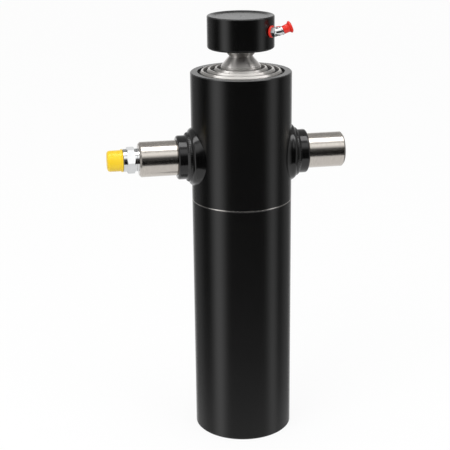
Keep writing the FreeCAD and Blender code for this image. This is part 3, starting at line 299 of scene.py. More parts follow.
def elastomer(name, colours, rough):
    """Moulded rubber or polyurethane of a seal: dark, with a dull greasy sheen."""
    surface = {"patch": 4 * MM, "relief_scale": 0.8 * MM, "relief_depth": 0.02 * MM}
    return clouded(name, colours, rough, **surface, IOR=1.5)


ENAMEL_BLACK = "#050505"
ENAMEL_IOR = 1.5
ENAMEL_CLOUD = 40 * MM
ENAMEL_GRAIN = 1.6 * MM
BODY_GLOSS = 0.25
BODY_PEEL = 0.004 * MM
WELD_GLOSS = 0.16
WELD_PEEL = 0.01 * MM
BARE_EDGE = "#DEDAD6"
WEAR_PATCH = 9 * MM
# Turned pins, the oil stain at their root, and the enamel of their shoulders.
PIN_STEEL = "#C9C3BC"
RING_DARK = "#A9A39C"
RING_BRIGHT = "#D6D0C9"
OIL_STAIN = "#4A3A2C"
SHOULDER_BLACK = "#090909"
PIN_SMEAR = 14 * MM
PIN_RING = 6 * MM
PIN_RELIEF = 0.006 * MM
# Rings left by the lathe tool lie nine times closer along the pin than round it.
TOOL_RINGS = (9.0, 1.0, 1.0)
TUBE_SMEAR = 18 * MM
# A quarter turn lays the spread of the highlight across the grooves.
ACROSS_GROOVES = 0.25

BODY_ENAMEL = satin_enamel("satin_enamel", BODY_GLOSS, BODY_PEEL)[0]
CUP_ENAMEL = satin_enamel("satin_enamel_cup", BODY_GLOSS, BODY_PEEL)[0]
# The paint lies thicker and glossier on the beads.
WELD_ENAMEL = satin_enamel("gloss_enamel_weld", WELD_GLOSS, WELD_PEEL)[0]
HEAD_ENAMEL = worn_edge_enamel()
TRUNNION_STEEL = turned_steel()
# Stage tubes, ground and faintly grey; the plunger and ball end, polished and brighter.
GROUND_STEEL = steel(
    "ground_steel",
    ("#B9B6B2", "#DAD7D3"),
    roughness=0.36,
    ring_width=1.2 * MM,
    depth=0.001 * MM,
    grooved=0.85,
)
POLISHED_STEEL = steel(
    "polished_steel",
    ("#DEDAD6", "#EFECE9"),
    roughness=0.39,
    ring_width=1.0 * MM,
    depth=0.0005 * MM,
    grooved=0.94,
)
# Rings and wires of spring steel: darker, oiled, hardly any grain.
SPRING_STEEL = steel(
    "spring_steel",
    ("#77797C", "#8E9093"),
    roughness=0.35,
    ring_width=0.8 * MM,
    depth=0.004 * MM,
)
# Bright zinc plate on small steel fittings: cool silver, a little cloudy.
ZINC = clouded(
    "zinc_plate",
    ("#CBCDCE", "#DEDFE0"),
    rough=(0.05, 0.08),
    patch=5 * MM,
    relief_scale=0.5 * MM,
    relief_depth=0.0012 * MM,
    Metallic=1.0,
)
YELLOW_CAP = polyethylene("yellow_polyethylene", ("#F8CE1B", "#FBD62B"), (0.27, 0.12))
RED_CAP = polyethylene("red_polyethylene", ("#DC2214", "#E63222"), (0.21, 0.12))
WIPER = elastomer("polyurethane_wiper", ("#0C0C0D", "#151516"), (0.33, 0.25))
SEAL = elastomer("nitrile_seal", ("#0B0B0B", "#131313"), (0.38, 0.25))
# Woven cloth in phenolic resin: brown, dull, faintly mottled.
GUIDE = elastomer("phenolic_guide_ring", ("#4A3420", "#5E452B"), (0.43, 0.25))


def wear_material(obj, material):
    """Gives a piece one material in all its slots."""
    if not obj.material_slots:
        obj.data.materials.append(material)
    for slot in obj.material_slots:
        slot.material = material


CAD_FINISHES = [
    (BODY_ENAMEL, ["barrel_tube", "base_plate", "base_weld"]),
    (HEAD_ENAMEL, ["trunnion_head"]),
    (TRUNNION_STEEL, ["trunnion_left", "trunnion_right"]),
    (CUP_ENAMEL, ["ball_cup"]),
    (GROUND_STEEL, ["stage_1_tube", "stage_2_tube", "stage_3_tube"]),
    (POLISHED_STEEL, ["plunger_tube"]),
    (SPRING_STEEL, ["plunger_plug", "plunger_stop_ring", "cup_retaining_ring"]),
    (SPRING_STEEL, ["stage_%d_stop_ring" % number for number in (1, 2, 3)]),
    (SPRING_STEEL, ["stage_%d_carrier_ring" % number for number in (1, 2, 3)]),
    (GUIDE, ["head_guide_ring", "plunger_foot_guide"]),
    (GUIDE, ["stage_%d_guide_ring" % number for number in (1, 2, 3)]),
    (GUIDE, ["stage_%d_foot_guide" % number for number in (1, 2, 3)]),
    (WIPER, ["head_wiper", "stage_1_wiper", "stage_2_wiper", "stage_3_wiper"]),
    (SEAL, ["head_seal", "stage_1_seal", "stage_2_seal", "stage_3_seal"]),
    (ZINC, ["bonded_seal"]),
]
for finish, names in CAD_FINISHES:
    for name in names:
        wear_material(nodes[name], finish)


# Mesh tools


def new_piece(name, mesh, body, replaced, material):
    """Puts a finished mesh in the scene with its material, ties it to its body and hides the CAD
    node that it replaces.
    """
    piece = bpy.data.objects.new(name, mesh)
    bpy.context.scene.collection.objects.link(piece)
    wear_material(piece, material)
    if body:
        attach(piece, body)
    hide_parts(replaced)
    return piece


def smooth(mesh, sharp_degrees=35):
    """Smooth shading, with edges left crisp where the surface turns by more than this."""
    mesh.polygons.foreach_set("use_smooth", [True] * len(mesh.polygons))
    mesh.set_sharp_from_angle(angle=math.radians(sharp_degrees))
    mesh.update()


def rounded(corners, steps=5):
    """Outline through corners (along, radius, rounding), each corner replaced by an arc."""
    spots = [Vector(corner[:2]) for corner in corners]
    outline = []
    for index, (along, radius, rounding) in enumerate(corners):
        spot = spots[index]
        last, following = spots[index - 1], spots[(index + 1) % len(spots)]
        if not rounding:
            outline.append(spot)
            continue
        back, ahead = (last - spot).normalized(), (following - spot).normalized()
        half = back.angle(ahead) / 2
        cut = rounding / math.tan(half)
        centre = spot + (back + ahead).normalized() * (rounding / math.sin(half))
        start = (spot + back * cut - centre).normalized()
        end = (spot + ahead * cut - centre).normalized()
        for step in range(steps + 1):
            outline.append(centre + start.slerp(end, step / steps) * rounding)
    return outline


def skin(rings, closed=True):
    """Shape over rings of points: closed round from the last to the first, or capped."""
    shape = bmesh.new()
    made = [[shape.verts.new(spot) for spot in ring] for ring in rings]
    following = made[1:] + made[:1] if closed else made[1:]
    for first, second in zip(made, following):
        count = max(len(first), len(second))
        for step in range(count):
            ahead = (step + 1) % count
            if len(first) > 1 and len(second) > 1:
                shape.faces.new((first[step], first[ahead], second[ahead], second[step]))
            elif len(first) > 1:
                shape.faces.new((first[step], first[ahead], second[0]))
            elif len(second) > 1:
                shape.faces.new((first[0], second[ahead], second[step]))
    if not closed:
        shape.faces.new(made[0])
        shape.faces.new(made[-1])
    return shape


def circle(place, along, radius, segments):
    """Points of a circle square to the X axis of a place, or one point on the axis."""
    if radius < SAME:
        return [place @ Vector((along, 0, 0))]
    turns = [TAU * step / segments for step in range(segments)]
    spots = [(along, radius * math.cos(turn), radius * math.sin(turn)) for turn in turns]
    return [place @ Vector(spot) for spot in spots]


def revolve(outline, place, segments=160):
    """Closed outline of (along, radius) turned about its own X axis, then put in its place."""
    return skin([circle(place, along, radius, segments) for along, radius in outline])


def finished_mesh(name, *shapes):
    """One mesh out of closed shapes, with every face turned outwards."""
    mesh = bpy.data.meshes.new(name)
    whole = bmesh.new()
    for shape in shapes:
        bmesh.ops.recalc_face_normals(shape, faces=shape.faces)
        part = bpy.data.meshes.new("part")
        shape.to_mesh(part)
        shape.free()
        whole.from_mesh(part)
        bpy.data.meshes.remove(part)
    whole.to_mesh(mesh)
    whole.free()
    smooth(mesh)
    return mesh


def ruled_shape(name, sizes, lines, columns, rows, material):
    """Shape made by Geometry Nodes: a grid of u and v from 0 to 1, moved to where rules say.

    The sizes become the tree's named inputs and the lines are its rules for x, y and z.
    """
    tree = bpy.data.node_groups.new(name + "_rule", "GeometryNodeTree")
    tree.interface.new_socket("Geometry", in_out="OUTPUT", socket_type="NodeSocketGeometry")
    sockets = {}
    for label in sizes:
        socket = tree.interface.new_socket(label, in_out="INPUT", socket_type="NodeSocketFloat")
        sockets[label] = socket.identifier
    given = add(tree, "NodeGroupInput").outputs
    counts = {"Size X": 1.0, "Size Y": 1.0, "Vertices X": columns + 1, "Vertices Y": rows + 1}
    grid = add(tree, "GeometryNodeMeshGrid", counts).outputs["Mesh"]
    position = add(tree, "GeometryNodeInputPosition").outputs[0]
    spot = add(tree, "ShaderNodeSeparateXYZ", {0: position})
    known = {label: given[label] for label in sizes}
    known["across"], known["up"] = spot.outputs[0], spot.outputs[1]
    known = formulas(tree, "u = across + 0.5\nv = up + 0.5\n" + lines.strip(), known)
    target = add(tree, "ShaderNodeCombineXYZ", {0: known["x"], 1: known["y"], 2: known["z"]})
    moved = add(tree, "GeometryNodeSetPosition", {"Geometry": grid, "Position": target.outputs[0]})
    seam = {"Geometry": moved.outputs[0], "Distance": SAME}
    closed = add(tree, "GeometryNodeMergeByDistance", seam)
    whole = add(tree, "GeometryNodeRealizeInstances", {"Geometry": closed.outputs[0]})
    dressed = {"Geometry": whole.outputs[0], "Material": material}
    finished = add(tree, "GeometryNodeSetMaterial", dressed)
    add(tree, "NodeGroupOutput", {0: finished.outputs[0]})

    holder = bpy.data.objects.new(name + "_holder", bpy.data.meshes.new(name + "_holder"))
    bpy.context.scene.collection.objects.link(holder)
    modifier = holder.modifiers.new("rule", "NODES")
    modifier.node_group = tree
    for label, size in sizes.items():
        modifier[sockets[label]] = float(size)
    graph = bpy.context.evaluated_depsgraph_get()
    mesh = bpy.data.meshes.new_from_object(holder.evaluated_get(graph))
    bpy.data.objects.remove(holder)
    shape = bmesh.new()
    shape.from_mesh(mesh)
    bpy.data.meshes.remove(mesh)
    return shape


# Weld beads round the shoulders


def weld_bead(name, node, side):
    """Two-pass fillet weld between head and shoulder, with its ripples, under enamel."""
    arc_rows = 26
    round_columns = 360
    ripple_run = TAU * SHOULDER_RADIUS * 1.16
    ripple_length = 2.6 * MM
    sizes = {
        "rows": arc_rows,
        "shoulder": SHOULDER_RADIUS,
        "middle": BARREL_RADIUS - 1 * MM,
        "height": TRUNNION_HEIGHT,
        "bead": 9.1 * MM,
        "spread": 4.5 * MM,
        "toe_top": math.radians(100),
        "toe_side": math.radians(38),
        "valley": math.radians(34),
        "cover": 1.3 * MM,
        "first": 1.1 * MM,
        "ripple": 0.4 * MM,
        "chevron": 2.4,
        "count": round(ripple_run / ripple_length),
        "wave": 0.2 * MM,
        "lining": 0.5 * MM,
        "root": 6.5 * MM,
        "side": side,
    }
    lines = """
    turn = u * tau
    row = v * (rows + 2)
    home = max(row - (rows + 1), 0)
    arc = min(row / rows, 1) * (1 - home)
    tuck = max(1 - abs(row - (rows + 1)), 0)
    flank = cos(turn) * cos(turn)
    toe = toe_top + toe_side * flank
    reach = bead + spread * flank * flank
    section = arc * toe
    wide = max(section - valley, 0) / (toe - valley)
    narrow = max(valley - section, 0) / valley
    phase = pi * count * u - chevron * abs(narrow - 0.5)
    ripples = ripple * abs(sin(phase)) * sin(pi * narrow)
    sway = wave * (sin(turn * 5 + 1.3) + 0.6 * sin(turn * 11 + section))
    slope = bead * reach * sin(toe) / (bead * sin(section) + reach * sin(toe - section))
    crown = cover * (1 + 0.6 * flank * flank) * sin(pi * wide) + first * sin(pi * narrow)
    thick = slope + crown - ripples + sway * sin(min(section, pi / 2))
    radius = (shoulder + thick * sin(section)) * (1 - tuck) + (shoulder - lining) * tuck
    out = (middle + thick * cos(section)) * (1 - tuck) + (middle - root) * tuck
    x = side * out
    y = radius * cos(turn)
    z = height + radius * sin(turn)
    """
    shape = ruled_shape(name, sizes, lines, round_columns, arc_rows + 2, WELD_ENAMEL)
    mesh = finished_mesh(name, shape)
    return new_piece(name, mesh, "barrel", node, WELD_ENAMEL)


weld_bead("weld_bead_left", "trunnion_weld_left", -1)
weld_bead("weld_bead_right", "trunnion_weld_right", 1)


# Port adapter with its threads, hexagon and cap. Local +X runs out of the trunnion.

PORT_PLACE = Matrix.Translation((0, 0, TRUNNION_HEIGHT)) @ Matrix.Rotation(math.pi, 4, "Z")
THREAD_RADIUS = 10.48 * MM
THREAD_DEPTH = 1.16 * MM
THREAD_PITCH = 1.814 * MM
OILWAY_RADIUS = 5 * MM
COLLAR_RADIUS = 13 * MM
SEAL_END = PIN_END + 2 * MM
HEX_START = SEAL_END + 2.4 * MM
HEX_LENGTH = 9.1 * MM
HEX_FLAT = 13.5 * MM
COLLAR_END = HEX_START + HEX_LENGTH + 4.2 * MM
HOSE_END = COLLAR_END + 15.3 * MM
STUD_START = PIN_END - 15 * MM


def thread(name, start, end):
    """Closed sleeve with a pipe thread cut in its outside, fading out at both ends."""
    rows_per_turn = 12
    round_columns = 96
    rows = round((end - start) / THREAD_PITCH * rows_per_turn)
    sizes = {
        "rows": rows,
        "start": start,
        "length": end - start,
        "radius": THREAD_RADIUS,
        "depth": THREAD_DEPTH,
        "pitch": THREAD_PITCH,
        "steep": 1.35,
        "land": 0.15,
        "run_out": 0.6,
        "lining": 1.6,
    }
    lines = """
    row = v * (rows + 2)
    home = max(row - (rows + 1), 0)
    tuck = max(1 - abs(row - (rows + 1)), 0)
    inner = min(tuck + max(1 - row, 0) + home, 1)
    share = min(max((row - 1) / (rows - 1), 0), 1) * (1 - home)
    turn = u * tau
    x = start + share * length
    fade = min(min(share * length, (1 - share) * length) / (pitch * run_out), 1)
    phase = (x / pitch - u) % 1
    flank = max(min(abs(phase * 2 - 1) * steep - land, 1), 0)
    crest = radius - depth * (1 - flank * fade)
    reach = crest * (1 - inner) + (radius - depth * lining) * inner
    y = reach * cos(turn)
    z = reach * sin(turn)
    """
    shape = ruled_shape(name, sizes, lines, round_columns, rows + 2, ZINC)
    bmesh.ops.transform(shape, matrix=PORT_PLACE, verts=shape.verts)
    return shape


def hexagon(start, length, flat, bore, place):
    """Closed hexagon ring, a corner upwards, whose corners are turned off at both ends."""
    steps = 72
    slope = math.tan(math.radians(30))
    turned_share = 0.1375
    turned = flat + turned_share * (flat / math.cos(math.pi / 6) - flat)
    end = start + length
    rings = [[] for level in range(6)]
    for step in range(steps):
        turn = TAU * step / steps
        corner = flat / math.cos(turn % (TAU / 6) - TAU / 12)
        cut = max(corner - turned, 0) * slope
        face = min(corner, turned)
        profile = [(start, bore), (start, face), (start + cut, corner)]
        profile += [(end - cut, corner), (end, face), (end, bore)]
        for ring, (along, reach) in zip(rings, profile):
            ring.append(place @ Vector((along, reach * math.cos(turn), reach * math.sin(turn))))
    shape = skin(rings)
    bmesh.ops.remove_doubles(shape, verts=shape.verts, dist=SAME)
    return shape


def port_adapter():
    """Steel adapter: stud, collar, hexagon and hose thread round one oilway, zinc plated."""
    core = THREAD_RADIUS - THREAD_DEPTH * 1.3
    cone = 3 * MM
    body = rounded([
        (STUD_START, OILWAY_RADIUS, 0),
        (HOSE_END - cone, OILWAY_RADIUS, 0),
        (HOSE_END, OILWAY_RADIUS + cone, 0),
        (HOSE_END, core, 0.3 * MM),
        (COLLAR_END, core, 0.4 * MM),
        (COLLAR_END, COLLAR_RADIUS, 0.7 * MM),
        (SEAL_END, COLLAR_RADIUS, 0.5 * MM),
        (SEAL_END, core, 0),
        (STUD_START, core, 0.5 * MM),
    ])
    shapes = [
        revolve(body, PORT_PLACE),
        thread("hose_thread", COLLAR_END + 1.6 * MM, HOSE_END - 0.2 * MM),
        thread("stud_thread", STUD_START + 0.3 * MM, SEAL_END - 2.4 * MM),
        hexagon(HEX_START, HEX_LENGTH, HEX_FLAT, COLLAR_RADIUS - 1 * MM, PORT_PLACE),
    ]
    mesh = finished_mesh("hose_adapter", *shapes)
    return new_piece("hose_adapter", mesh, "barrel", "port_adapter", ZINC)


def port_cap():
    """Moulded cap pressed over the hose thread, with a lip at its mouth."""
    wall = 1.5 * MM
    skirt = 16 * MM
    dimple = 0.35 * MM
    lip = 0.9 * MM
    lip_width = 1.8 * MM
    start = COLLAR_END + SEAT_GAP
    roof = start + skirt
    end = roof + wall
    outside = THREAD_RADIUS + wall
    outline = rounded([
        (start, THREAD_RADIUS + FIT_GAP, 0.3 * MM),
        (roof, THREAD_RADIUS - 0.3 * MM, 1.2 * MM),
        (roof, 0, 0),
        (end - dimple, 0, 0),
        (end - dimple, 1.6 * MM, 0.3 * MM),
        (end, 2.2 * MM, 0.5 * MM),
        (end, outside - 0.2 * MM, 3 * MM),
        (start + lip_width + 0.1 * MM, outside, 0.35 * MM),
        (start + lip_width, outside + lip, 0.4 * MM),
        (start, outside + lip, 0.4 * MM),
    ], steps=8)
    mesh = finished_mesh("thread_cap", revolve(outline, PORT_PLACE))
    return new_piece("thread_cap", mesh, "port_cap", "port_cap", YELLOW_CAP)


port_adapter()
port_cap()


# Ball end


UPRIGHT = Matrix.Rotation(-math.pi / 2, 4, "Y")
TUBE_SEGMENTS = 200


def ball_end():
    """Polished cone, neck and ball, with the fillets that the lathe leaves between them."""
    ball = 20 * MM
    ball_flat = 5 * MM
    neck = 13.3 * MM
    root = 14.95 * MM
    root_foot = PLUNGER_TOP - 20 * MM
    root_bevel = 1.5 * MM
    cone = 22 * MM
    cone_fall = 0.866
    cone_floor = PLUNGER_TOP + 1 * MM
    cone_top = cone_floor + (cone - neck) / cone_fall
    neck_top = BALL_HEIGHT - math.sqrt(ball ** 2 - neck ** 2)
    start = math.atan2(neck_top - BALL_HEIGHT, neck)
    finish = math.acos(ball_flat / ball)
    steps = 40
    outline = rounded([
        (root_foot, 0, 0),
        (root_foot, root - root_bevel, 0),
        (root_foot + root_bevel, root, 0),
        (PLUNGER_TOP, root, 0),
        (PLUNGER_TOP, cone, 0.3 * MM),
        (cone_floor, cone, 0.3 * MM),
        (cone_top, neck, 1.2 * MM),
        (neck_top + 0.2 * MM, neck + 0.1 * MM, 0),
    ])
    for step in range(1, steps + 1):
        turn = start + (finish - start) * step / steps
        outline.append(Vector((BALL_HEIGHT + ball * math.sin(turn), ball * math.cos(turn))))
    outline.append(Vector((outline[-1].x, 0)))
    mesh = finished_mesh("ball_end_polished", revolve(outline, UPRIGHT))
    name, body, slot = "ball_end_polished", "plunger", "plunger_steel"
    return new_piece(name, mesh, body, "ball_end", POLISHED_STEEL)


ball_end()


# Stage tubes and cup, turned again with the rounded edges that catch the light


def stage_tube(stem, inside, mouth):
    """Stage tube: gland grooves in its top, foot grooves outside, a well rounded upper edge.

    Inside is the radius of the tube that slides in it, and mouth the wiper recess beyond it.
    """
    low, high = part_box(stem + "_tube")
    radius, foot, top = high.x, low.z, high.z
    bore = radius - 5 * MM
    land = inside + 0.3 * MM
    groove = radius - 2 * MM
    carrier, carrier_low = bore + 1.5 * MM, foot + 3 * MM
    carrier_high = carrier_low + 2.5 * MM
    foot_guide_low = foot + 6 * MM
    foot_guide_high = foot_guide_low + 15 * MM
    stop_low = foot + 57 * MM
    stop_high = stop_low + 5 * MM
    wiper = top - 6 * MM
    seal, seal_high = inside + 3.6 * MM, wiper - 3 * MM
    seal_low = seal_high - 7 * MM
    guide, guide_high = inside + 2.4 * MM, seal_low - 4 * MM
    guide_low = guide_high - 14 * MM
    gland_floor = guide_low - 16 * MM
    edge_width, edge_fall = 1.3 * MM, 2.4 * MM
    outline = rounded([
        (foot, bore, 0.3 * MM),
        (carrier_low, bore, 0),
        (carrier_low, carrier, 0),
        (carrier_high, carrier, 0),
        (carrier_high, bore, 0),
        (gland_floor, bore, 0),
        (gland_floor, land, 0.3 * MM),
        (guide_low, land, 0),
        (guide_low, guide, 0),
        (guide_high, guide, 0),
        (guide_high, land, 0),
        (seal_low, land, 0),
        (seal_low, seal, 0),
        (seal_high, seal, 0),
        (seal_high, land, 0),
        (wiper, land, 0),
        (wiper, inside + mouth, 0),
        (top, inside + mouth, 0.5 * MM),
        (top, radius - edge_width, 0.35 * MM),
        (top - edge_fall, radius, 0.3 * MM),
        (stop_high, radius, 0.2 * MM),
        (stop_high, groove, 0),
        (stop_low, groove, 0),
        (stop_low, radius, 0.2 * MM),
        (foot_guide_high, radius, 0.2 * MM),
        (foot_guide_high, groove, 0),
        (foot_guide_low, groove, 0),
        (foot_guide_low, radius, 0.2 * MM),
        (foot, radius, 0.5 * MM),
    ], steps=6)
    name = stem + "_tube_turned"
    mesh = finished_mesh(name, revolve(outline, UPRIGHT, TUBE_SEGMENTS))
    return new_piece(name, mesh, stem, stem + "_tube", GROUND_STEEL)


def ball_cup():
    """Cup with its shallow dish, ball seat and the groove of its retaining ring."""
    seat = 20.05 * MM
    mouth_bevel = 1 * MM
    wire_low, wire_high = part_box("cup_retaining_ring")
    groove = wire_high.x + FIT_GAP
    groove_low, groove_high = wire_low.z - FIT_GAP, wire_high.z + FIT_GAP
    dish = CUP_TOP - 1.5 * MM
    rim_inside = CUP_RADIUS - 2.8 * MM
    dish_edge = CUP_RADIUS - 8 * MM
    centre_mark, mark_depth = 1.1 * MM, 0.6 * MM
    outline = rounded([
        (CUP_FOOT, seat + mouth_bevel, 0.2 * MM),
        (CUP_FOOT, CUP_RADIUS, 2.5 * MM),
        (CUP_TOP, CUP_RADIUS, 1.6 * MM),
        (CUP_TOP, rim_inside, 0.6 * MM),
        (dish, dish_edge, 1.5 * MM),
        (dish, centre_mark, 0.1 * MM),
        (dish - mark_depth, 0, 0),
    ], steps=8)
    steps = 24
    for step in range(steps + 1):
        turn = (1 - step / steps) * math.pi / 2
        outline.append(Vector((BALL_HEIGHT + seat * math.sin(turn), seat * math.cos(turn))))
    outline[-1 - steps].y = 0
    outline += [
        Vector((groove_high, seat)),
        Vector((groove_high, groove)),
        Vector((groove_low, groove)),
        Vector((groove_low, seat)),
        Vector((CUP_FOOT + mouth_bevel, seat)),
    ]
    mesh = finished_mesh("ball_cup_turned", revolve(outline, UPRIGHT, TUBE_SEGMENTS))
    return new_piece("ball_cup_turned", mesh, "cup", "ball_cup", CUP_ENAMEL)


stage_tube("stage_1", inside=38 * MM, mouth=4.4 * MM)
stage_tube("stage_2", inside=30 * MM, mouth=4.6 * MM)
stage_tube("stage_3", inside=22.5 * MM, mouth=4.3 * MM)
ball_cup()


# Grease nipple and its dust cap. The nipple's +X runs out of the cup along its thread.

NIPPLE_HEIGHT = CUP_FOOT + 20.8 * MM
NIPPLE_AZIMUTH = math.radians(-40.8)
NIPPLE_ROLL = math.radians(-57)
NIPPLE_BEND = math.radians(45)
TETHER_START = CUP_RADIUS + 0.1 * MM
TETHER_END = TETHER_START + 2.6 * MM
NIPPLE_HEX_FLAT = 5 * MM
NIPPLE_HEX_END = TETHER_END + 4.6 * MM
ELBOW_REACH = CUP_RADIUS + 10 * MM
ELBOW_RADIUS = 4.4 * MM
HEAD_COLLAR_START = 3 * MM
HEAD_COLLAR_END = 5 * MM
HEAD_COLLAR_RADIUS = 5 * MM
HEAD_RADIUS = 3.25 * MM
HEAD_END = 12 * MM
NIPPLE_SEGMENTS = 72
DUST_CAP_SEGMENTS = 96
DUST_CAP_START = HEAD_COLLAR_END + SEAT_GAP
DUST_CAP_END = DUST_CAP_START + 10.4 * MM
NIPPLE_PLACE = (
    Matrix.Translation((0, 0, NIPPLE_HEIGHT))
    @ Matrix.Rotation(NIPPLE_AZIMUTH, 4, "Z")
    @ Matrix.Rotation(NIPPLE_ROLL, 4, "X")
)
HEAD_PLACE = (
    NIPPLE_PLACE
    @ Matrix.Translation((ELBOW_REACH, 0, 0))
    @ Matrix.Rotation(-NIPPLE_BEND, 4, "Y")
)


def elbow():
    """Round bend between the nipple's hexagon and its head."""
    lead = ELBOW_REACH - NIPPLE_HEX_END
    bend_radius = lead / math.tan(NIPPLE_BEND / 2)
    steps = 14
    stations = [NIPPLE_PLACE @ Matrix.Translation((NIPPLE_HEX_END - 1 * MM, 0, 0))]
    for step in range(steps + 1):
        turn = NIPPLE_BEND * step / steps
        across = bend_radius * (1 - math.cos(turn))
        spot = Matrix.Translation((NIPPLE_HEX_END + bend_radius * math.sin(turn), 0, across))
        stations.append(NIPPLE_PLACE @ spot @ Matrix.Rotation(-turn, 4, "Y"))
    stations.append(HEAD_PLACE @ Matrix.Translation((HEAD_COLLAR_START + 0.5 * MM, 0, 0)))
    return skin([circle(station, 0, ELBOW_RADIUS, 64) for station in stations], closed=False)


def grease_nipple():
    """Bent grease nipple: stem, hexagon, elbow and the head that the gun grips."""
    stem_radius = 3.95 * MM
    stem_start = CUP_RADIUS - 9.7 * MM
    stem_end = TETHER_END + 0.5 * MM
    stem = rounded([
        (stem_start, 0, 0),
        (stem_start, stem_radius, 0.6 * MM),
        (stem_end, stem_radius, 0),
        (stem_end, 0, 0),
    ])
    shank = HEAD_RADIUS - 0.1 * MM
    waist = HEAD_RADIUS - 0.9 * MM
    tip = HEAD_RADIUS - 1.3 * MM
    ball_seat = HEAD_END - 0.8 * MM
    head = rounded([
        (HEAD_COLLAR_START, 0, 0),
        (HEAD_COLLAR_START, HEAD_COLLAR_RADIUS, 0.5 * MM),
        (HEAD_COLLAR_END, HEAD_COLLAR_RADIUS, 0.5 * MM),
        (HEAD_COLLAR_END, shank, 0.2 * MM),
        (HEAD_END - 5.5 * MM, shank, 0.3 * MM),
        (HEAD_END - 4.2 * MM, waist, 0.5 * MM),
        (HEAD_END - 2.6 * MM, HEAD_RADIUS, 0.9 * MM),
        (HEAD_END, tip, 0.4 * MM),
        (HEAD_END, 0.9 * MM, 0.1 * MM),
        (ball_seat, 0.7 * MM, 0),
        (ball_seat, 0, 0),
    ])
    hex_length = NIPPLE_HEX_END - TETHER_END
    hex_bore = 3.5 * MM
    shapes = [
        revolve(stem, NIPPLE_PLACE, NIPPLE_SEGMENTS),
        hexagon(TETHER_END, hex_length, NIPPLE_HEX_FLAT, hex_bore, NIPPLE_PLACE),
        elbow(),
        revolve(head, HEAD_PLACE, NIPPLE_SEGMENTS),
    ]
    mesh = finished_mesh("grease_nipple_zinc", *shapes)
    return new_piece("grease_nipple_zinc", mesh, "cup", "grease_nipple", ZINC)


def dust_cap():
    """Flared dust cap on the nipple's head, and its ring under the hexagon."""
    body = 4.65 * MM
    rim = 6.8 * MM
    roof = HEAD_END + SEAT_GAP
    outline = rounded([
        (DUST_CAP_START, HEAD_RADIUS + FIT_GAP, 0.3 * MM),
        (roof, HEAD_RADIUS + FIT_GAP, 0.6 * MM),
        (roof, 0, 0),
        (DUST_CAP_END, 0, 0),
        (DUST_CAP_END - 0.2 * MM, rim - 1.6 * MM, 1.5 * MM),
        (DUST_CAP_END - 1.4 * MM, rim, 0.8 * MM),
        (DUST_CAP_END - 2.6 * MM, rim, 0.7 * MM),
        (DUST_CAP_END - 4.0 * MM, body + 0.25 * MM, 2.0 * MM),
        (DUST_CAP_START, body - 0.1 * MM, 0.4 * MM),
    ], steps=6)
    mesh = finished_mesh("dust_cap", revolve(outline, HEAD_PLACE, DUST_CAP_SEGMENTS))
    new_piece("dust_cap", mesh, "nipple_cap", "nipple_cap", RED_CAP)
    ring_inside, ring_outside = 4.05 * MM, 6.5 * MM
    ring = rounded([
        (TETHER_START, ring_inside, 0.3 * MM),
        (TETHER_END, ring_inside, 0.3 * MM),
        (TETHER_END, ring_outside, 0.8 * MM),
        (TETHER_START, ring_outside, 0.8 * MM),
    ])
    mesh = finished_mesh("dust_cap_ring", revolve(ring, NIPPLE_PLACE, DUST_CAP_SEGMENTS))
    new_piece("dust_cap_ring", mesh, "cup", "nipple_cap_ring", RED_CAP)


def strap():
    """Flat strap that ties the dust cap to its ring, bent round the far side of the hexagon."""
    up = Vector((0, 0, 1))
    out = NIPPLE_PLACE.to_3x3() @ Vector((1, 0, 0))
    ahead = HEAD_PLACE.to_3x3() @ Vector((1, 0, 0))
    aside = up.cross(out)
    share_up, share_aside = 0.62, 0.78
    on_ring, on_cap = 6.2 * MM, 4.6 * MM
    bulge = 2.2 * MM
    reach = (up * share_up + aside * share_aside).normalized()
    lean = (reach - ahead * reach.dot(ahead)).normalized()
    foot = NIPPLE_PLACE.translation + out * (TETHER_END - 1.3 * MM)
    start = foot + reach * on_ring
    end = HEAD_PLACE.translation + ahead * (DUST_CAP_START + 0.9 * MM) + lean * on_cap
    rise = (start + end) / 2 + reach * bulge
    steps = 24
    sides = 12
    half_width = 1.3 * MM
    half_thick = 0.42 * MM
    # Powers below 1 square the strap's oval section off.
    flat_edge, flat_face = 0.35, 0.6
    side = (end - start).cross(up).normalized()
    rings = []
    for step in range(steps + 1):
        share = step / steps
        spot = start.lerp(rise, share).lerp(rise.lerp(end, share), share)
        run = (rise - start).lerp(end - rise, share).normalized()
        top = side.cross(run).normalized()
        ring = []
        for corner in range(sides):
            turn = TAU * corner / sides
            cosine, sine = math.cos(turn), math.sin(turn)
            wide = math.copysign(abs(cosine) ** flat_edge, cosine) * half_width
            thick = math.copysign(abs(sine) ** flat_face, sine) * half_thick
            ring.append(spot + side * wide + top * thick)
        rings.append(ring)
    shape = skin(rings, closed=False)
    mesh = finished_mesh("dust_cap_strap", shape)
    piece = new_piece("dust_cap_strap", mesh, None, "nipple_cap_strap", RED_CAP)
    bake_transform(piece)


grease_nipple()
dust_cap()
strap()


# Studio


def stage_object(name, mesh, material):
    """Piece of the studio, which is no part of the cylinder."""
    made = bpy.data.objects.new(name, mesh)
    bpy.context.scene.collection.objects.link(made)
    made.data.materials.append(material)
    return made


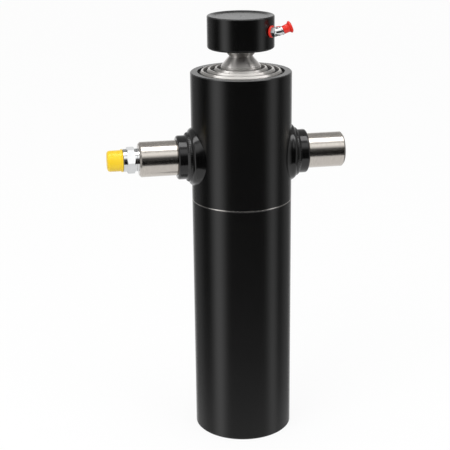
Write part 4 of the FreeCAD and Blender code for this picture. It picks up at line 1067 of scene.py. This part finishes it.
def floor():
    """Pale floor that shows as the white background and keeps a faint shadow."""
    made = bpy.data.materials.new("white_floor")
    made.use_nodes = True
    tree = made.node_tree
    tree.nodes.clear()
    glow = add(tree, "ShaderNodeEmission", {"Color": linear("#FFFFFF"), "Strength": 1.0})
    matt = add(tree, "ShaderNodeBsdfDiffuse", {"Color": linear("#FFFFFF")})
    shadow_share = 0.12
    shares = {0: shadow_share, 1: glow.outputs[0], 2: matt.outputs[0]}
    mixed = add(tree, "ShaderNodeMixShader", shares)
    add(tree, "ShaderNodeOutputMaterial", {"Surface": mixed.outputs[0]})
    half = 6.0
    mesh = bpy.data.meshes.new("floor")
    corners = [(-half, -half, 0), (half, -half, 0), (half, half, 0), (-half, half, 0)]
    mesh.from_pydata(corners, [], [(0, 1, 2, 3)])
    plane = stage_object("floor", mesh, made)
    plane.visible_glossy = False
    plane.visible_diffuse = False
    plane.visible_shadow = False


# What metal and enamel mirror of the studio: each light has its strength and its edges, and
# an edge pair is (measure, lower edge, its softness, upper edge, its softness). Bearing runs
# round from the camera's side and turned is its size without its sign. Rise runs from the
# camera's horizon over the top to the rear. These three are in radians. Up and aside are the
# direction's own height and sideways parts.
STUDIO_LIGHTS = {
    "left_strip": (1.35, [("bearing", -1.41, 0.34, -0.59, 0.34), ("up", None, None, 0.55, 0.20)]),
    "right_strip": (0.85, [("bearing", 0.96, 0.30, 1.66, 0.30), ("up", None, None, 0.55, 0.20)]),
    "wings": (0.24, [("turned", 1.65, 0.40, None, None)]),
    "backdrop": (0.95, [("turned", 2.45, 0.35, None, None), ("up", None, None, 0.42, 0.15)]),
    "light_box": (4.2, [("rise", 1.22, 0.04, 1.76, 0.06), ("aside", None, None, 0.90, 0.10)]),
    "box_rim": (0.72, [("rise", 0.98, 0.04, 1.60, 0.04)]),
    "front_panel": (1.45, [("rise", 0.34, 0.38, 1.04, 0.06), ("aside", None, None, 0.75, 0.10)]),
    "front_glow": (0.06, [("rise", 0.00, 0.10, 1.76, 0.06)]),
    "rear": (0.42, [("rise", 1.76, 0.08, None, None)]),
    "floor": (0.92, [("up", None, None, -0.47, 0.015)]),
}
STUDIO_DARK = 0.012
STUDIO_PLAIN = 0.8


def between(measure, low, low_soft, high, high_soft):
    """Formula that is 1 between two soft edges and 0 beyond them; None leaves an edge out."""
    edges = []
    if low is not None:
        edges.append("min(max((%s - %r) / %r, 0), 1)" % (measure, low, low_soft))
    if high is not None:
        edges.append("min(max((%r - %s) / %r, 0), 1)" % (high, measure, high_soft))
    return " * ".join(edges)


def studio_world():
    """White for the eye, even light for matt surfaces, and the studio lights for gloss."""
    world = bpy.data.worlds.new("studio")
    bpy.context.scene.world = world
    world.use_nodes = True
    world.cycles.sampling_method = "NONE"
    tree = world.node_tree
    tree.nodes.clear()
    direction = add(tree, "ShaderNodeTexCoord").outputs["Generated"]
    parts = add(tree, "ShaderNodeSeparateXYZ", {0: direction}).outputs
    path = add(tree, "ShaderNodeLightPath").outputs
    values = {"x": parts[0], "y": parts[1], "up": parts[2]}
    values["sight_x"], values["sight_y"] = math.sin(HEADING), math.cos(HEADING)
    values["camera"], values["clear"] = path["Is Camera Ray"], path["Is Transmission Ray"]
    values["glossy"], values["plain"] = path["Is Glossy Ray"], STUDIO_PLAIN
    shade = repr(STUDIO_DARK)
    for strength, edges in STUDIO_LIGHTS.values():
        light = " * ".join(between(*edge) for edge in edges)
        shade = "max(%s, %s * %r)" % (shade, light, strength)
    lines = """
    toward = 0 - x * sight_x - y * sight_y
    sideways = x * sight_y - y * sight_x
    aside = abs(sideways)
    bearing = atan2(sideways, toward)
    turned = abs(bearing)
    rise = atan2(up, toward)
    mirrored = SHADE
    seen = max(camera, clear)
    strength = max(seen, glossy * mirrored + (1 - glossy) * plain * (1 - seen))
    """.replace("SHADE", shade)
    strength = formulas(tree, lines, values)["strength"]
    light = add(tree, "ShaderNodeBackground", {"Color": linear("#FFFFFF"), "Strength": strength})
    add(tree, "ShaderNodeOutputWorld", {"Surface": light.outputs[0]})


def softbox(name, bearing, distance, height, size, power, tilt):
    """Area lamp that faces the cylinder, its bearing counted from the camera's in degrees.

    It looks down by the tilt, in radians.
    """
    lamp = bpy.data.lights.new(name, "AREA")
    lamp.shape = "RECTANGLE"
    lamp.size, lamp.size_y = size
    lamp.energy = power
    made = bpy.data.objects.new(name, lamp)
    bpy.context.scene.collection.objects.link(made)
    turn = math.radians(bearing) - HEADING - math.pi / 2
    made.location = (distance * math.cos(turn), distance * math.sin(turn), height)
    target = Vector((0, 0, height - math.tan(tilt) * distance))
    made.rotation_euler = (target - made.location).to_track_quat("-Z", "Y").to_euler()
    made.visible_camera = False
    made.visible_glossy = False


# The camera stands where the photograph's perspective puts it, and looks a little past the
# cylinder's axis. Angles are in radians.
CAMERA_DISTANCE = 1304.8 * MM
CAMERA_HEIGHT = 678.3 * MM
CAMERA_BEARING = 0.18795
LOOK_PAST = 0.01508
HEADING = CAMERA_BEARING - LOOK_PAST
PITCH = 0.31770
ROLL = -0.01070
LENS = 94.374
SENSOR = 36.0
CLIP = (0.05, 50.0)


def camera():
    """Camera of the photograph."""
    made = bpy.data.objects.new("camera", bpy.data.cameras.new("camera"))
    bpy.context.scene.collection.objects.link(made)
    made.data.lens = LENS
    made.data.sensor_width = SENSOR
    place = (
        -CAMERA_DISTANCE * math.sin(CAMERA_BEARING),
        -CAMERA_DISTANCE * math.cos(CAMERA_BEARING),
        CAMERA_HEIGHT,
    )
    turned = Matrix.Rotation(-HEADING, 4, "Z") @ Matrix.Rotation(math.pi / 2 - PITCH, 4, "X")
    made.matrix_world = Matrix.Translation(place) @ turned @ Matrix.Rotation(ROLL, 4, "Z")
    made.data.clip_start, made.data.clip_end = CLIP
    bpy.context.scene.camera = made


floor()
studio_world()
BOX = (0.9, 0.9)
softbox("key_box", bearing=-40, distance=1.1, height=1.3, size=BOX, power=7.0, tilt=0.85)
softbox("fill_box", bearing=55, distance=1.3, height=0.9, size=BOX, power=3.0, tilt=0.5)
camera()
bpy.context.scene.view_settings.view_transform = "Standard"
